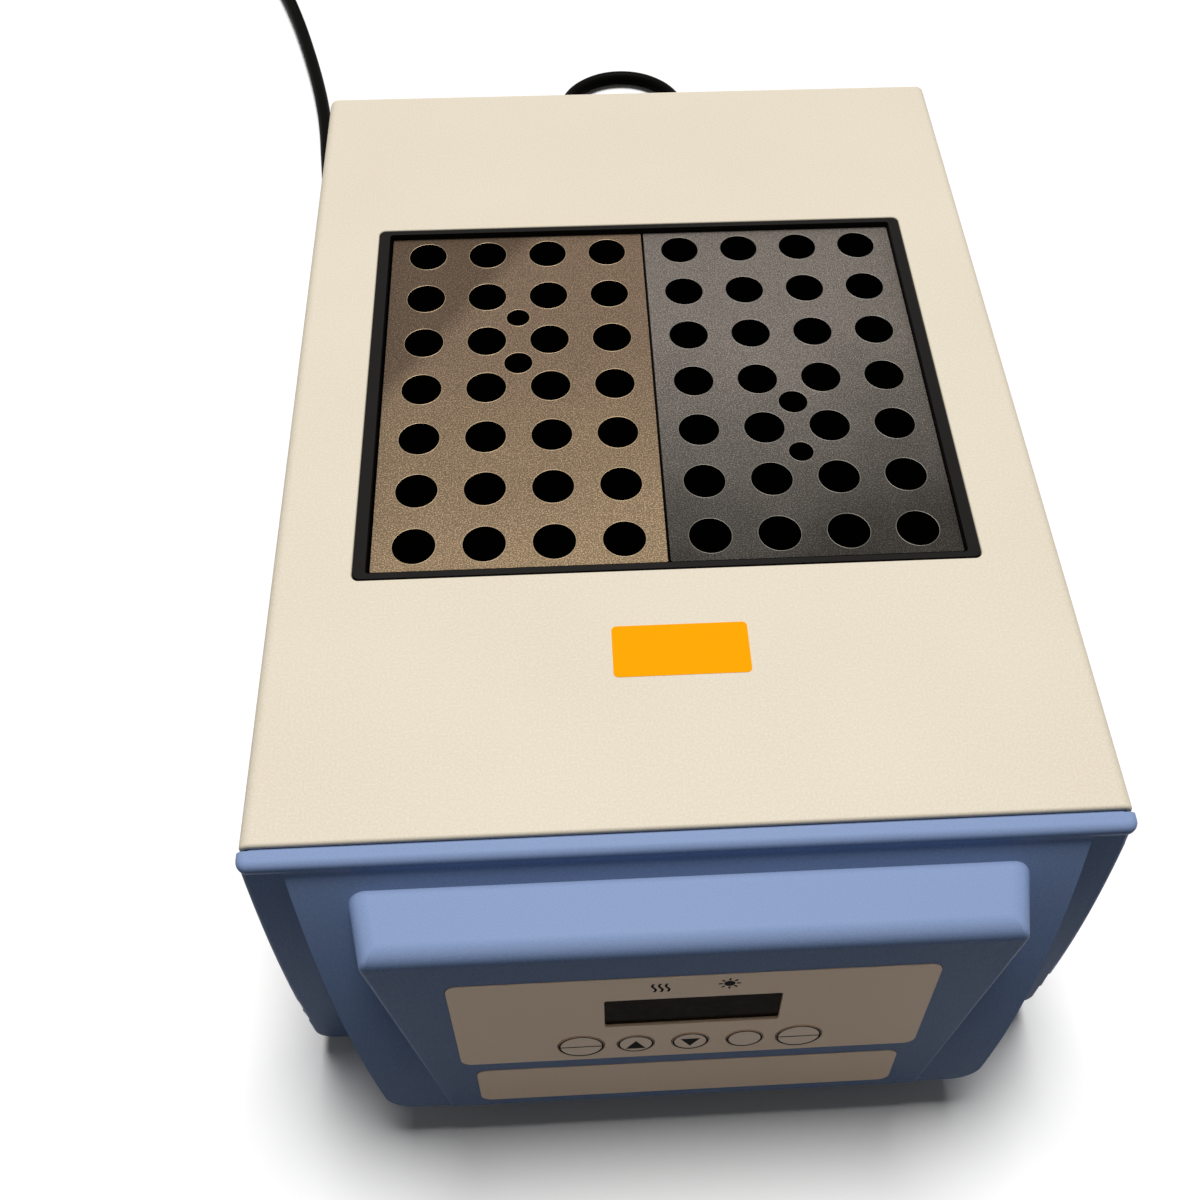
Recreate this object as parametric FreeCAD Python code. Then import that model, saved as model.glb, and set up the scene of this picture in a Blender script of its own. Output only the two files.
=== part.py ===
import FreeCAD, Part
import math
import os

# A dry bath incubator with two lift-out heating blocks. Millimetres, +Z up.
# The front faces -Y and +X is to the right of someone who faces it.
# The origin is on the bench, under the middle of the instrument.

V = FreeCAD.Vector
X_AXIS = V(1, 0, 0)
Y_AXIS = V(0, 1, 0)
Z_AXIS = V(0, 0, 1)

# Clearances
FIT = 0.3
SEAT = 0.2
BIG = 400.0

# Painted cover
COVER_W = 211.4
COVER_FRONT_Y = -119.8
COVER_BACK_Y = 161.0
COVER_TOP_Z = 114.0
COVER_BOTTOM_Z = 12.0
COVER_T = 1.2
COVER_BEND_R = 3.0
REAR_LIP_H = 10.0
COVER_FRONT_R = 0.9
OPENING_EDGE_R = 0.5

# Opening and bezel
WELL_Y = 22.3
OPENING_W = 168.6
OPENING_D = 136.8
OPENING_R = 2.0
BEZEL_FIT = 0.4
BEZEL_SIDE = 3.1
BEZEL_END = 1.7
BEZEL_H = 14.0
BEZEL_FLANGE = 5.0
BEZEL_FLANGE_T = 2.2

# Heating blocks
BLOCK_W = 79.8
BLOCK_D = 130.7
BLOCK_H = 44.0
BLOCK_GAP = 0.8
BLOCK_SHIFT_X = 0.3
BLOCK_SHIFT_Y = 0.65
BLOCK_SINK = 2.0
BLOCK_EDGE = 0.5
WELL_COLUMNS = 4
WELL_ROWS = 7
WELL_PITCH = 19.05
WELL_R = 5.55
WELL_DEPTH = 38.0
THERMOMETER_R = 3.9
THERMOMETER_DEPTH = 32.0
LIFT_HOLE_R = 3.2
LIFT_HOLE_DEPTH = 14.0

# Heater stack under the blocks
TRAY_T = 0.8
TRAY_LIP = 5.0
PLATE_T = 8.0
MAT_MARGIN = 2.0
BOARD_T = 6.0
JACKET_T = 13.0
JACKET_SIDE_GAP = 9.9
JACKET_TOP_GAP = 14.0
POST_R = 4.5
POST_SHOULDER = 2.0
POST_HOLE_FIT = 1.0
POST_INSET = 14.5
POST_Y = 48.0
POST_SCREW_LEN = 8.0
SENSOR_R = 2.4
SENSOR_INSET = 5.6
SENSOR_TAIL = 10.0
CUTOUT_R = 7.9
CUTOUT_H = 9.5
CUTOUT_X = 40.0
CUTOUT_Y = -30.0

# Chassis pan and rear panel
FLOOR_Z = 8.0
PAN_T = 1.5
PAN_WALL_H = 24.0
PAN_BEND_R = 2.5
REAR_INSET = 3.9
REAR_T = 1.5
REAR_FLANGE = 12.0
VENT_W = 3.0
VENT_L = 26.0
VENT_STEP = 8.0
VENT_COUNT = 7

# Front moulding
FASCIA_PROUD = 0.5
FASCIA_GAP = 0.6
FASCIA_WALL = 3.4
BAND_DROP = 1.0
BAND_H = 4.8
BAND_DEPTH = 4.6
BAND_R = 2.2
BAND_END_R = 3.0
WING_TOP_DEPTH = 2.0
WING_MID_DEPTH = 11.1
WING_BOTTOM_DEPTH = 14.8
WING_BOTTOM_Z = 6.0
WING_CORNER_R = 6.0
WING_EDGE_R = 1.2
BODY_TOP_DEPTH = 3.6
BODY_MID_DEPTH = 26.6
BODY_FOOT_DEPTH = 37.9
BODY_MID_Z = 62.0
BODY_FOOT_Z = 18.0
BODY_TOP_INSET = 10.5
BODY_FOOT_INSET = 24.7
BODY_CORNER_R = 8.0
BAND_BLEND_R = 5.0
RIM_T = 2.0
RIM_LEN = 8.0
RIM_ROOT = 4.0
FASCIA_SCREW_LEN = 8.0
FASCIA_SCREW_INSET = 16.2
FASCIA_SCREW_STEP = 30.0

# Control nose
NOSE_TOP_Z = 104.0
NOSE_FOOT_DEPTH = 38.3
NOSE_TOP_HALF = 78.9
NOSE_FOOT_HALF = 65.4
NOSE_FLARE = 0.228
NOSE_EDGE_R = 5.0
NOSE_CREASE_R = 1.5
PANEL_LEAN = 9.0

# Control panel, measured along the leaning face from the nose's foot
OVERLAY_W = 119.4
OVERLAY_H = 44.9
OVERLAY_V = 50.5
OVERLAY_T = 0.8
OVERLAY_R = 3.0
OVERLAY_POCKET = 0.6
WINDOW_W = 44.0
WINDOW_H = 14.9
WINDOW_V = 54.3
WINDOW_R = 0.8
LENS_LAP = 2.0
LENS_T = 1.4
DISPLAY_T = 5.6
KEY_V = 36.4
KEY_STEP = 14.1
KEY_WIDE_R = 5.9
KEY_SMALL_R = 4.7
KEY_PROUD = 0.15
KEY_FLANGE = 1.0
KEY_FLANGE_T = 0.8
KEY_TRAVEL = 0.5
KEY_NAMES = ["key_set", "key_up", "key_down", "key_shift", "key_start"]
KEY_RADII = [KEY_WIDE_R, KEY_SMALL_R, KEY_SMALL_R, KEY_SMALL_R, KEY_WIDE_R]
NOTICE_W = 112.8
NOTICE_H = 19.5
NOTICE_V = 13.6
NOTICE_T = 0.4
NOTICE_POCKET = 0.25
CONTROL_W = 116.0
CONTROL_H = 52.0
CONTROL_V = 50.0
CONTROL_STANDOFF = 9.0
PCB_T = 1.6
SWITCH_GAP = 0.2
SWITCH_SIDE = 6.0
BOSS_R = 3.5
BOSS_INSET = 5.0
PIN_HOLE_R = 1.3
SCREW_FIT = 0.08

# Power electronics
POWER_MARGIN = 7.7
POWER_Y = 112.0
POWER_W = 80.0
POWER_D = 37.0
POWER_STANDOFF = 8.0
STANDOFF_R = 3.0
STANDOFF_INSET = 4.0
TRANSFORMER_W = 42.0
TRANSFORMER_D = 32.0
TRANSFORMER_TOP_GAP = 1.1
HEATSINK_W = 14.0
HEATSINK_D = 30.0
HEATSINK_TOP_GAP = 8.1
RIBBON_W = 20.0
RIBBON_T = 0.9
RIBBON_GAP = 0.5
HEADER_H = 6.0
HEADER_W = 24.0
HEADER_T = 5.0
HEADER_V = 54.5
EARTH_INSET = 22.2
EARTH_Y = 108.0
REAR_SCREW_INSET = 16.0
REAR_VENT_TOP_GAP = 26.0

# Mains inlet, fuse drawer and switch
INLET_X = 45.0
INLET_Z = 47.0
INLET_FLANGE_W = 50.0
INLET_FLANGE_H = 36.0
INLET_FLANGE_T = 2.4
INLET_BODY_W = 29.0
INLET_BODY_H = 32.0
INLET_BODY_D = 27.0
SOCKET_W = 24.4
SOCKET_H = 16.4
SOCKET_DEPTH = 17.0
SOCKET_DROP = 6.0
SOCKET_CHAMFER = 4.0
FUSE_RISE = 9.7
FUSE_W = 20.0
FUSE_H = 8.0
FUSE_D = 18.0
FUSE_LIP = 1.4
PIN_W = 2.0
PIN_H = 4.0
PIN_LEN = 13.0
PIN_SPREAD = 7.0
PIN_RISE = 2.0
ROCKER_X = -12.0
ROCKER_Z = 47.0
ROCKER_W = 10.8
ROCKER_HALF = 7.0
ROCKER_SWING = 10.0
ROCKER_PIVOT_R = 1.2
ROCKER_PIVOT_FIT = 0.06
ROCKER_SINK = 3.0
SWITCH_BEZEL_W = 15.0
SWITCH_BEZEL_H = 21.0
SWITCH_BEZEL_T = 2.0
SWITCH_BODY_D = 15.0

# Feet and fasteners
FOOT_R = 10.0
FOOT_TAPER = 1.5
FOOT_INSET = 18.2
FOOT_FRONT_Y = -100.0
FOOT_BACK_Y = 140.0
M3_R = 1.45
M3_HEAD_R = 2.8
M3_HEAD_H = 1.9
M4_R = 1.95
M4_HEAD_R = 3.8
M4_HEAD_H = 1.5

# Mains lead
CORD_R = 3.1
CONNECTOR_W = 26.6
CONNECTOR_H = 18.6
CONNECTOR_LEN = 23.0
RELIEF_R = 6.4
RELIEF_TIP_R = 4.2
COIL_COLUMNS = 3
COIL_LAYERS = 2
COIL_MEAN_R = 37.0
COIL_Z = 1.0
TIE_T = 0.8
TIE_W = 8.0
PLUG_W = 25.0
PLUG_H = 19.0
PLUG_LEN = 30.0
PLUG_RELIEF_LEN = 22.0
BLADE_W = 6.3
BLADE_T = 1.5
BLADE_LEN = 17.5
BLADE_SPREAD = 6.35
GROUND_R = 2.4
GROUND_LEN = 20.5
GROUND_DROP = 5.5

# Derived levels and planes
FASCIA_BACK_Y = COVER_FRONT_Y - FASCIA_GAP
BAND_TOP_Z = COVER_TOP_Z - BAND_DROP
BLOCK_TOP_Z = COVER_TOP_Z - BLOCK_SINK
BLOCK_BOTTOM_Z = BLOCK_TOP_Z - BLOCK_H
PLATE_BOTTOM_Z = BLOCK_BOTTOM_Z - PLATE_T
MAT_BOTTOM_Z = PLATE_BOTTOM_Z - TRAY_T
BOARD_BOTTOM_Z = MAT_BOTTOM_Z - BOARD_T
BEZEL_BOTTOM_Z = COVER_TOP_Z - BEZEL_H
FLOOR_TOP_Z = FLOOR_Z + PAN_T
PAN_HALF = COVER_W / 2 - COVER_T - FIT
FASCIA_W = COVER_W + 2 * FASCIA_PROUD
BODY_TOP_HALF = FASCIA_W / 2 - BODY_TOP_INSET
BODY_FOOT_HALF = FASCIA_W / 2 - BODY_FOOT_INSET
FOOT_X = PAN_HALF - FOOT_INSET
REAR_SCREW_X = FOOT_X - REAR_SCREW_INSET
POWER_X = POWER_W / 2 + POWER_MARGIN + PAN_T - PAN_HALF
PAN_FRONT_Y = FASCIA_BACK_Y + FIT
PAN_TOP_Z = FLOOR_Z + PAN_WALL_H
REAR_Y = COVER_BACK_Y - REAR_INSET
NOSE_FOOT_Y = FASCIA_BACK_Y - NOSE_FOOT_DEPTH
LEAN = math.radians(PANEL_LEAN)
BEZEL_OUTER_W = OPENING_W - 2 * BEZEL_FIT
BEZEL_OUTER_D = OPENING_D - 2 * BEZEL_FIT
BEZEL_INNER_W = BEZEL_OUTER_W - 2 * BEZEL_SIDE
BEZEL_INNER_D = BEZEL_OUTER_D - 2 * BEZEL_END
TRAY_W = BEZEL_INNER_W + 2 * TRAY_T
TRAY_D = BEZEL_INNER_D + 2 * TRAY_T
JACKET_W = COVER_W - 2 * COVER_T - 2 * JACKET_SIDE_GAP
JACKET_D = TRAY_D + 2 * JACKET_T
BLOCK_Y = WELL_Y + BLOCK_SHIFT_Y
PLATE_W = BEZEL_INNER_W - 2 * FIT
PLATE_D = BEZEL_INNER_D - 2 * FIT
POST_X = PLATE_W / 2 - POST_INSET
CONTROL_W0 = -CONTROL_STANDOFF
POWER_Z = FLOOR_TOP_Z + POWER_STANDOFF
TRANSFORMER_H = BOARD_BOTTOM_Z - TRANSFORMER_TOP_GAP - POWER_Z - PCB_T
HEATSINK_H = BOARD_BOTTOM_Z - HEATSINK_TOP_GAP - POWER_Z - PCB_T
SOCKET_Z = INLET_Z - SOCKET_DROP
FUSE_Z = INLET_Z + FUSE_RISE
PIVOT_Y = REAR_Y + SWITCH_BEZEL_T - ROCKER_SINK - SWITCH_BEZEL_T

# The lead's route on the bench, chosen by eye: out of the connector, one loop behind the
# instrument, round its back corner and away to the coil
CORD_ROUTE = [
    V(45, 207, 41), V(45, 236, 41), V(43, 261, 24), V(39, 283, 8), V(34.4, 304.5, 3.2),
    V(28.8, 321.8, 3.2), V(14.1, 332.5, 3.2), V(-4.1, 332.5, 3.2), V(-18.8, 321.8, 3.2),
    V(-24.4, 304.5, 3.2), V(-30, 277, 3.2), V(-42, 245, 3.2), V(-69, 214, 3.2), V(-104, 207, 3.2),
    V(-131, 231, 3.2), V(-135.5, 268, 3.2), V(-139.5, 305, 3.2), V(-148, 345, 3.2),
    V(-163, 398, 4.1), V(-182, 446, 4.1),
]


def box(x0, x1, y0, y1, z0, z1):
    return Part.makeBox(x1 - x0, y1 - y0, z1 - z0, V(x0, y0, z0))


def rounded_box(cx, cy, width, depth, z0, z1, radius):
    # Upright block about (cx, cy) with its four vertical edges rounded
    block = box(cx - width / 2, cx + width / 2, cy - depth / 2, cy + depth / 2, z0, z1)
    return round_edges(block, radius, Z_AXIS) if radius > 0 else block


def parallel_edges(shape, direction, test=None):
    # Straight edges along a direction whose midpoint passes the test
    found = []
    for edge in shape.Edges:
        if not isinstance(edge.Curve, Part.Line):
            continue
        if edge.Curve.Direction.cross(direction).Length > 1e-6:
            continue
        if test is None or test(edge.CenterOfMass):
            found.append(edge)
    return found


def round_edges(shape, radius, direction, test=None):
    return shape.makeFillet(radius, parallel_edges(shape, direction, test))


def rod(radius, base, axis, length):
    return Part.makeCylinder(radius, length, base, axis)


def upright(radius, x, y, z0, z1):
    return rod(radius, V(x, y, z0), Z_AXIS, z1 - z0)


def join(first, others):
    return first.fuse(others).removeSplitter()


def carve(shape, tools):
    return shape.cut(tools)


def mirrored_x(shape):
    return shape.mirror(V(0, 0, 0), X_AXIS)


def corners(cx, cy, dx, dy):
    return [(cx + sx * dx, cy + sy * dy) for sx in (-1, 1) for sy in (-1, 1)]


def screw(base, axis, radius, head_radius, head_height, shank):
    # Head seated at base, its shank pointing along the axis
    head = rod(head_radius, base - axis * head_height, axis, head_height)
    return head.fuse(rod(radius, base, axis, shank)).removeSplitter()


def section_prism(points, arc_mid, x0, x1):
    # Side outline in (y, z), its second edge an arc through arc_mid, drawn out along X
    p = [V(x0, y, z) for y, z in points]
    edges = [Part.LineSegment(p[0], p[1]).toShape()]
    edges.append(Part.Arc(p[1], V(x0, arc_mid[0], arc_mid[1]), p[2]).toShape())
    for i in range(2, len(p)):
        edges.append(Part.LineSegment(p[i], p[(i + 1) % len(p)]).toShape())
    return Part.Face(Part.Wire(edges)).extrude(V(x1 - x0, 0, 0))


def flat_prism(points, travel):
    wire = Part.makePolygon(points + [points[0]])
    return Part.Face(wire).extrude(travel)


def on_panel(shape):
    # From panel coordinates (across, up the face, out of the face) to the part's frame
    turn = FreeCAD.Rotation(X_AXIS, 90 - PANEL_LEAN)
    placed = shape.copy()
    placed.Placement = FreeCAD.Placement(V(0, NOSE_FOOT_Y, BODY_FOOT_Z), turn).multiply(placed.Placement)
    return placed


def panel_y(z):
    # The leaning face's Y at a height
    return NOSE_FOOT_Y + (z - BODY_FOOT_Z) * math.tan(LEAN)


def top_cover():
    half = COVER_W / 2
    shell = box(-half, half, COVER_FRONT_Y, COVER_BACK_Y, COVER_BOTTOM_Z, COVER_TOP_Z)
    shell = round_edges(shell, COVER_BEND_R, Y_AXIS, lambda c: c.z > COVER_TOP_Z - 1)
    back_top = parallel_edges(shell, X_AXIS, lambda c: c.z > COVER_TOP_Z - 1 and c.y > COVER_BACK_Y - 1)
    shell = shell.makeFillet(COVER_BEND_R / 2, back_top)
    front_top = parallel_edges(shell, X_AXIS, lambda c: c.z > COVER_TOP_Z - 1 and c.y < COVER_FRONT_Y + 1)
    shell = shell.makeFillet(COVER_FRONT_R, front_top)
    room = box(-half + COVER_T, half - COVER_T, COVER_FRONT_Y - 1, COVER_BACK_Y - COVER_T,
               COVER_BOTTOM_Z - 1, COVER_TOP_Z - COVER_T)
    room = round_edges(room, COVER_BEND_R - COVER_T, Y_AXIS, lambda c: c.z > 0)
    rear = box(-half + COVER_T, half - COVER_T, COVER_BACK_Y - COVER_T - 1, COVER_BACK_Y + 1,
               COVER_BOTTOM_Z - 1, COVER_TOP_Z - REAR_LIP_H)
    opening = rounded_box(0, WELL_Y, OPENING_W, OPENING_D, COVER_TOP_Z - 2 * COVER_T, COVER_TOP_Z + 1, OPENING_R)
    holes = [rod(M4_R + FIT / 2, V(-half - 1, y, cover_screw_z()), X_AXIS, COVER_W + 2) for y in cover_screw_ys()]
    cover = carve(shell, [room, rear, opening] + holes)
    rim = [e for e in cover.Edges if e.BoundBox.ZMin > COVER_TOP_Z - 1e-6 and e.BoundBox.XMax < OPENING_W / 2 + FIT
           and e.BoundBox.XMin > -OPENING_W / 2 - FIT and abs(e.BoundBox.Center.y - WELL_Y) < OPENING_D / 2 + FIT]
    return cover.makeFillet(OPENING_EDGE_R, rim)


def cover_screw_z():
    return FLOOR_Z + PAN_WALL_H / 2


def cover_screw_ys():
    return [COVER_FRONT_Y + 38, COVER_BACK_Y - 38]


def cover_screws():
    screws = []
    for y in cover_screw_ys():
        for side in (-1, 1):
            base = V(side * COVER_W / 2, y, cover_screw_z())
            screws.append(screw(base, X_AXIS * -side, M4_R, M4_HEAD_R, M4_HEAD_H, 6.0))
    return Part.makeCompound(screws)


def bezel_frame():
    under = COVER_TOP_Z - COVER_T - SEAT
    frame = rounded_box(0, WELL_Y, BEZEL_OUTER_W, BEZEL_OUTER_D, BEZEL_BOTTOM_Z, COVER_TOP_Z, OPENING_R)
    flange = rounded_box(0, WELL_Y, OPENING_W + 2 * BEZEL_FLANGE, OPENING_D + 2 * BEZEL_FLANGE,
                         under - BEZEL_FLANGE_T, under, OPENING_R)
    hole = rounded_box(0, WELL_Y, BEZEL_INNER_W, BEZEL_INNER_D, BEZEL_BOTTOM_Z - 1, COVER_TOP_Z + 1, 1.0)
    return carve(join(frame, [flange]), [hole])


def block_x(side):
    # The pair stands a little off the pocket's middle
    return side * (BLOCK_W + BLOCK_GAP) / 2 + BLOCK_SHIFT_X


def well_centres():
    xs = [(i - (WELL_COLUMNS - 1) / 2) * WELL_PITCH for i in range(WELL_COLUMNS)]
    ys = [(j - (WELL_ROWS - 1) / 2) * WELL_PITCH for j in range(WELL_ROWS)]
    return [(x, y) for x in xs for y in ys]


def heating_block(side):
    # Both blocks are alike; the right one stands turned half round
    body = rounded_box(0, 0, BLOCK_W, BLOCK_D, BLOCK_BOTTOM_Z, BLOCK_TOP_Z, BLOCK_EDGE)
    tools = [upright(WELL_R, x, y, BLOCK_TOP_Z - WELL_DEPTH, BLOCK_TOP_Z + 1) for x, y in well_centres()]
    tools.append(upright(THERMOMETER_R, 0, WELL_PITCH / 2, BLOCK_TOP_Z - THERMOMETER_DEPTH, BLOCK_TOP_Z + 1))
    tools.append(upright(LIFT_HOLE_R, 0, WELL_PITCH * 1.5, BLOCK_TOP_Z - LIFT_HOLE_DEPTH, BLOCK_TOP_Z + 1))
    block = carve(body, tools)
    if side > 0:
        block.rotate(V(0, 0, 0), Z_AXIS, 180)
    block.translate(V(block_x(side), BLOCK_Y, 0))
    return block


def well_tray():
    # Thin tray that hangs round the blocks, its bottom edge turned in under the plate
    top = BEZEL_BOTTOM_Z - SEAT
    outer = rounded_box(0, WELL_Y, TRAY_W, TRAY_D, MAT_BOTTOM_Z, top, 1.0 + TRAY_T)
    inner = rounded_box(0, WELL_Y, BEZEL_INNER_W, BEZEL_INNER_D, PLATE_BOTTOM_Z, top + 1, 1.0)
    floor = rounded_box(0, WELL_Y, BEZEL_INNER_W - 2 * TRAY_LIP, BEZEL_INNER_D - 2 * TRAY_LIP,
                        MAT_BOTTOM_Z - 1, PLATE_BOTTOM_Z + 1, 2.0)
    return carve(outer, [inner, floor])


def post_places():
    return corners(0, WELL_Y, POST_X, POST_Y)


def heater_plate():
    plate = rounded_box(0, WELL_Y, PLATE_W, PLATE_D, PLATE_BOTTOM_Z, BLOCK_BOTTOM_Z, 1.0)
    seat = upright(SENSOR_R + FIT, 0, WELL_Y, PLATE_BOTTOM_Z - 1, PLATE_BOTTOM_Z + SENSOR_INSET + FIT)
    return carve(plate, [seat])


def stack_holes(z0, z1):
    # Passages for the posts, the sensor and the cut-out through the layers under the plate
    holes = [upright(POST_R + POST_HOLE_FIT, x, y, z0 - 1, z1 + 1) for x, y in post_places()]
    holes.append(upright(SENSOR_R + POST_HOLE_FIT, 0, WELL_Y, z0 - 1, z1 + 1))
    holes.append(upright(CUTOUT_R + POST_HOLE_FIT, CUTOUT_X, WELL_Y + CUTOUT_Y, z0 - 1, z1 + 1))
    return holes


def heater_mat():
    margin = 2 * (TRAY_LIP + MAT_MARGIN)
    mat = rounded_box(0, WELL_Y, BEZEL_INNER_W - margin, BEZEL_INNER_D - margin,
                      MAT_BOTTOM_Z, PLATE_BOTTOM_Z, 3.0)
    return carve(mat, stack_holes(MAT_BOTTOM_Z, PLATE_BOTTOM_Z))


def insulation_board():
    board = rounded_box(0, WELL_Y, JACKET_W, JACKET_D, BOARD_BOTTOM_Z, MAT_BOTTOM_Z, 4.0)
    return carve(board, stack_holes(BOARD_BOTTOM_Z, MAT_BOTTOM_Z))


def insulation_jacket():
    top = COVER_TOP_Z - JACKET_TOP_GAP - SEAT
    outer = rounded_box(0, WELL_Y, JACKET_W, JACKET_D, MAT_BOTTOM_Z, top, 4.0)
    inner = rounded_box(0, WELL_Y, TRAY_W + 2 * FIT, TRAY_D + 2 * FIT, MAT_BOTTOM_Z - 1, top + 1, 2.0)
    return carve(outer, [inner])


def heater_posts():
    posts = []
    for x, y in post_places():
        post = upright(POST_R, x, y, FLOOR_TOP_Z, PLATE_BOTTOM_Z)
        post = join(post, [upright(POST_R + POST_SHOULDER, x, y, FLOOR_TOP_Z, BOARD_BOTTOM_Z)])
        posts.append(carve(post, [upright(M4_R + SCREW_FIT, x, y, FLOOR_TOP_Z - 1, FLOOR_TOP_Z + 9)]))
    return Part.makeCompound(posts)


def post_screws():
    return Part.makeCompound([screw(V(x, y, FLOOR_Z), Z_AXIS, M4_R, M4_HEAD_R, M4_HEAD_H, POST_SCREW_LEN)
                              for x, y in post_places()])


def temperature_sensor():
    # Probe tip in the plate, with a collar that stands off under the insulation
    tip = upright(SENSOR_R, 0, WELL_Y, BOARD_BOTTOM_Z - SENSOR_TAIL, PLATE_BOTTOM_Z + SENSOR_INSET)
    collar = upright(2 * SENSOR_R, 0, WELL_Y, BOARD_BOTTOM_Z - PAN_T, BOARD_BOTTOM_Z)
    return join(tip, [collar])


def thermal_cutout():
    y = WELL_Y + CUTOUT_Y
    disc = upright(CUTOUT_R, CUTOUT_X, y, PLATE_BOTTOM_Z - CUTOUT_H, PLATE_BOTTOM_Z)
    low = PLATE_BOTTOM_Z - CUTOUT_H
    tabs = [box(CUTOUT_X + s * 5 - 0.4, CUTOUT_X + s * 5 + 0.4, y - 3, y + 3, low - 7, low) for s in (-1, 1)]
    return join(disc, tabs)


def floor_vents():
    # Two rows of slots along the pan, clear of the posts
    slots = []
    for row in (-1, 1):
        for i in range(VENT_COUNT):
            y = WELL_Y + (i - (VENT_COUNT - 1) / 2) * VENT_STEP
            slots.append(rounded_box(row * 34, y, VENT_L, VENT_W, FLOOR_Z - 1, FLOOR_TOP_Z + 1, VENT_W / 2.01))
    return slots


def base_pan():
    outer = box(-PAN_HALF, PAN_HALF, PAN_FRONT_Y, REAR_Y, FLOOR_Z, PAN_TOP_Z)
    outer = round_edges(outer, PAN_BEND_R, Y_AXIS, lambda c: c.z < FLOOR_Z + 1)
    room = box(-PAN_HALF + PAN_T, PAN_HALF - PAN_T, PAN_FRONT_Y + PAN_T, REAR_Y + 1, FLOOR_TOP_Z, PAN_TOP_Z + 1)
    room = round_edges(room, PAN_BEND_R - PAN_T, Y_AXIS, lambda c: c.z < FLOOR_TOP_Z + 1)
    tools = [room] + floor_vents()
    for x, y in post_places() + foot_places():
        tools.append(upright(M4_R + SCREW_FIT, x, y, FLOOR_Z - 1, FLOOR_TOP_Z + 1))
    for y in cover_screw_ys():
        tools.append(rod(M4_R + SCREW_FIT, V(-COVER_W, y, cover_screw_z()), X_AXIS, 2 * COVER_W))
    for x, z in fascia_screw_places():
        tools.append(rod(M3_R + SCREW_FIT, V(x, PAN_FRONT_Y - 1, z), Y_AXIS, 2 * PAN_T))
    for x, y in rear_screw_places() + standoff_places() + [earth_place()]:
        tools.append(upright(M3_R + SCREW_FIT, x, y, FLOOR_Z - 1, FLOOR_TOP_Z + 1))
    return carve(outer, tools)


def foot_places():
    return [(sx * FOOT_X, y) for sx in (-1, 1) for y in (FOOT_FRONT_Y, FOOT_BACK_Y)]


def feet():
    made = []
    for x, y in foot_places():
        foot = Part.makeCone(FOOT_R - FOOT_TAPER, FOOT_R, FLOOR_Z, V(x, y, 0), Z_AXIS)
        bore = upright(M4_R + FIT, x, y, -1, FLOOR_Z + 1)
        recess = upright(M4_HEAD_R + FIT, x, y, -1, M4_HEAD_H + 2)
        made.append(carve(foot, [bore, recess]))
    return Part.makeCompound(made)


def foot_screws():
    z = M4_HEAD_H + 2
    return Part.makeCompound([screw(V(x, y, z), Z_AXIS, M4_R, M4_HEAD_R, M4_HEAD_H, FLOOR_TOP_Z + 2.5 - z)
                              for x, y in foot_places()])


def rear_screw_places():
    return [(x, REAR_Y - REAR_T - REAR_FLANGE / 2) for x in (-REAR_SCREW_X, 0.0, REAR_SCREW_X)]


def rear_panel():
    # Wall with a foot flange on the pan's floor and a top flange under the cover
    top = COVER_TOP_Z - COVER_T - FIT
    half = PAN_HALF - PAN_BEND_R - SEAT
    wall = box(-half, half, REAR_Y - REAR_T, REAR_Y, FLOOR_TOP_Z, top)
    wide = box(-PAN_HALF, PAN_HALF, REAR_Y - REAR_T, REAR_Y, PAN_TOP_Z + SEAT, top)
    wide = round_edges(wide, COVER_BEND_R - COVER_T, Y_AXIS, lambda c: c.z > top - 1)
    foot = box(-half, half, REAR_Y - REAR_T - REAR_FLANGE, REAR_Y, FLOOR_TOP_Z, FLOOR_TOP_Z + REAR_T)
    head = box(-half, half, REAR_Y - REAR_T - REAR_FLANGE, REAR_Y, top - REAR_T, top)
    panel = join(wall, [wide, foot, head])
    cuts = [inlet_window(), switch_window()]
    vent_top = COVER_TOP_Z - REAR_VENT_TOP_GAP
    for i in range(VENT_COUNT):
        x = POWER_X + (i - (VENT_COUNT - 1) / 2) * VENT_STEP
        slot = box(x - VENT_W / 2, x + VENT_W / 2, REAR_Y - 2 * REAR_T, REAR_Y + 1, vent_top - VENT_L, vent_top)
        cuts.append(round_edges(slot, VENT_W / 2.01, Y_AXIS))
    for x, y in rear_screw_places():
        cuts.append(upright(M3_R + SCREW_FIT, x, y, FLOOR_TOP_Z - 1, FLOOR_TOP_Z + 2 * REAR_T))
    for side in (-1, 1):
        base = V(INLET_X + side * inlet_screw_x(), REAR_Y - 2 * REAR_T, INLET_Z)
        cuts.append(rod(M3_R + SCREW_FIT, base, Y_AXIS, 3 * REAR_T))
    return carve(panel, cuts)


def rear_screws():
    return Part.makeCompound([screw(V(x, y, FLOOR_Z), Z_AXIS, M3_R, M3_HEAD_R, M3_HEAD_H, PAN_T + REAR_T + 2)
                              for x, y in rear_screw_places()])


def earth_place():
    return (PAN_HALF - EARTH_INSET, EARTH_Y)


def earth_stud():
    # Stud through the floor with its washer and nut
    x, y = earth_place()
    stud = upright(M3_R, x, y, FLOOR_Z, FLOOR_TOP_Z + 14)
    head = upright(M3_HEAD_R, x, y, FLOOR_Z - M3_HEAD_H, FLOOR_Z)
    washer = upright(4.2, x, y, FLOOR_TOP_Z, FLOOR_TOP_Z + 1)
    nut = hexagon(x, y, 3.2, FLOOR_TOP_Z + 1, FLOOR_TOP_Z + 3.6)
    return join(stud, [head, washer, nut])


def hexagon(x, y, radius, z0, z1):
    points = [V(x + radius * math.cos(math.pi * k / 3), y + radius * math.sin(math.pi * k / 3), z0)
              for k in range(6)]
    return flat_prism(points, V(0, 0, z1 - z0))


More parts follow.
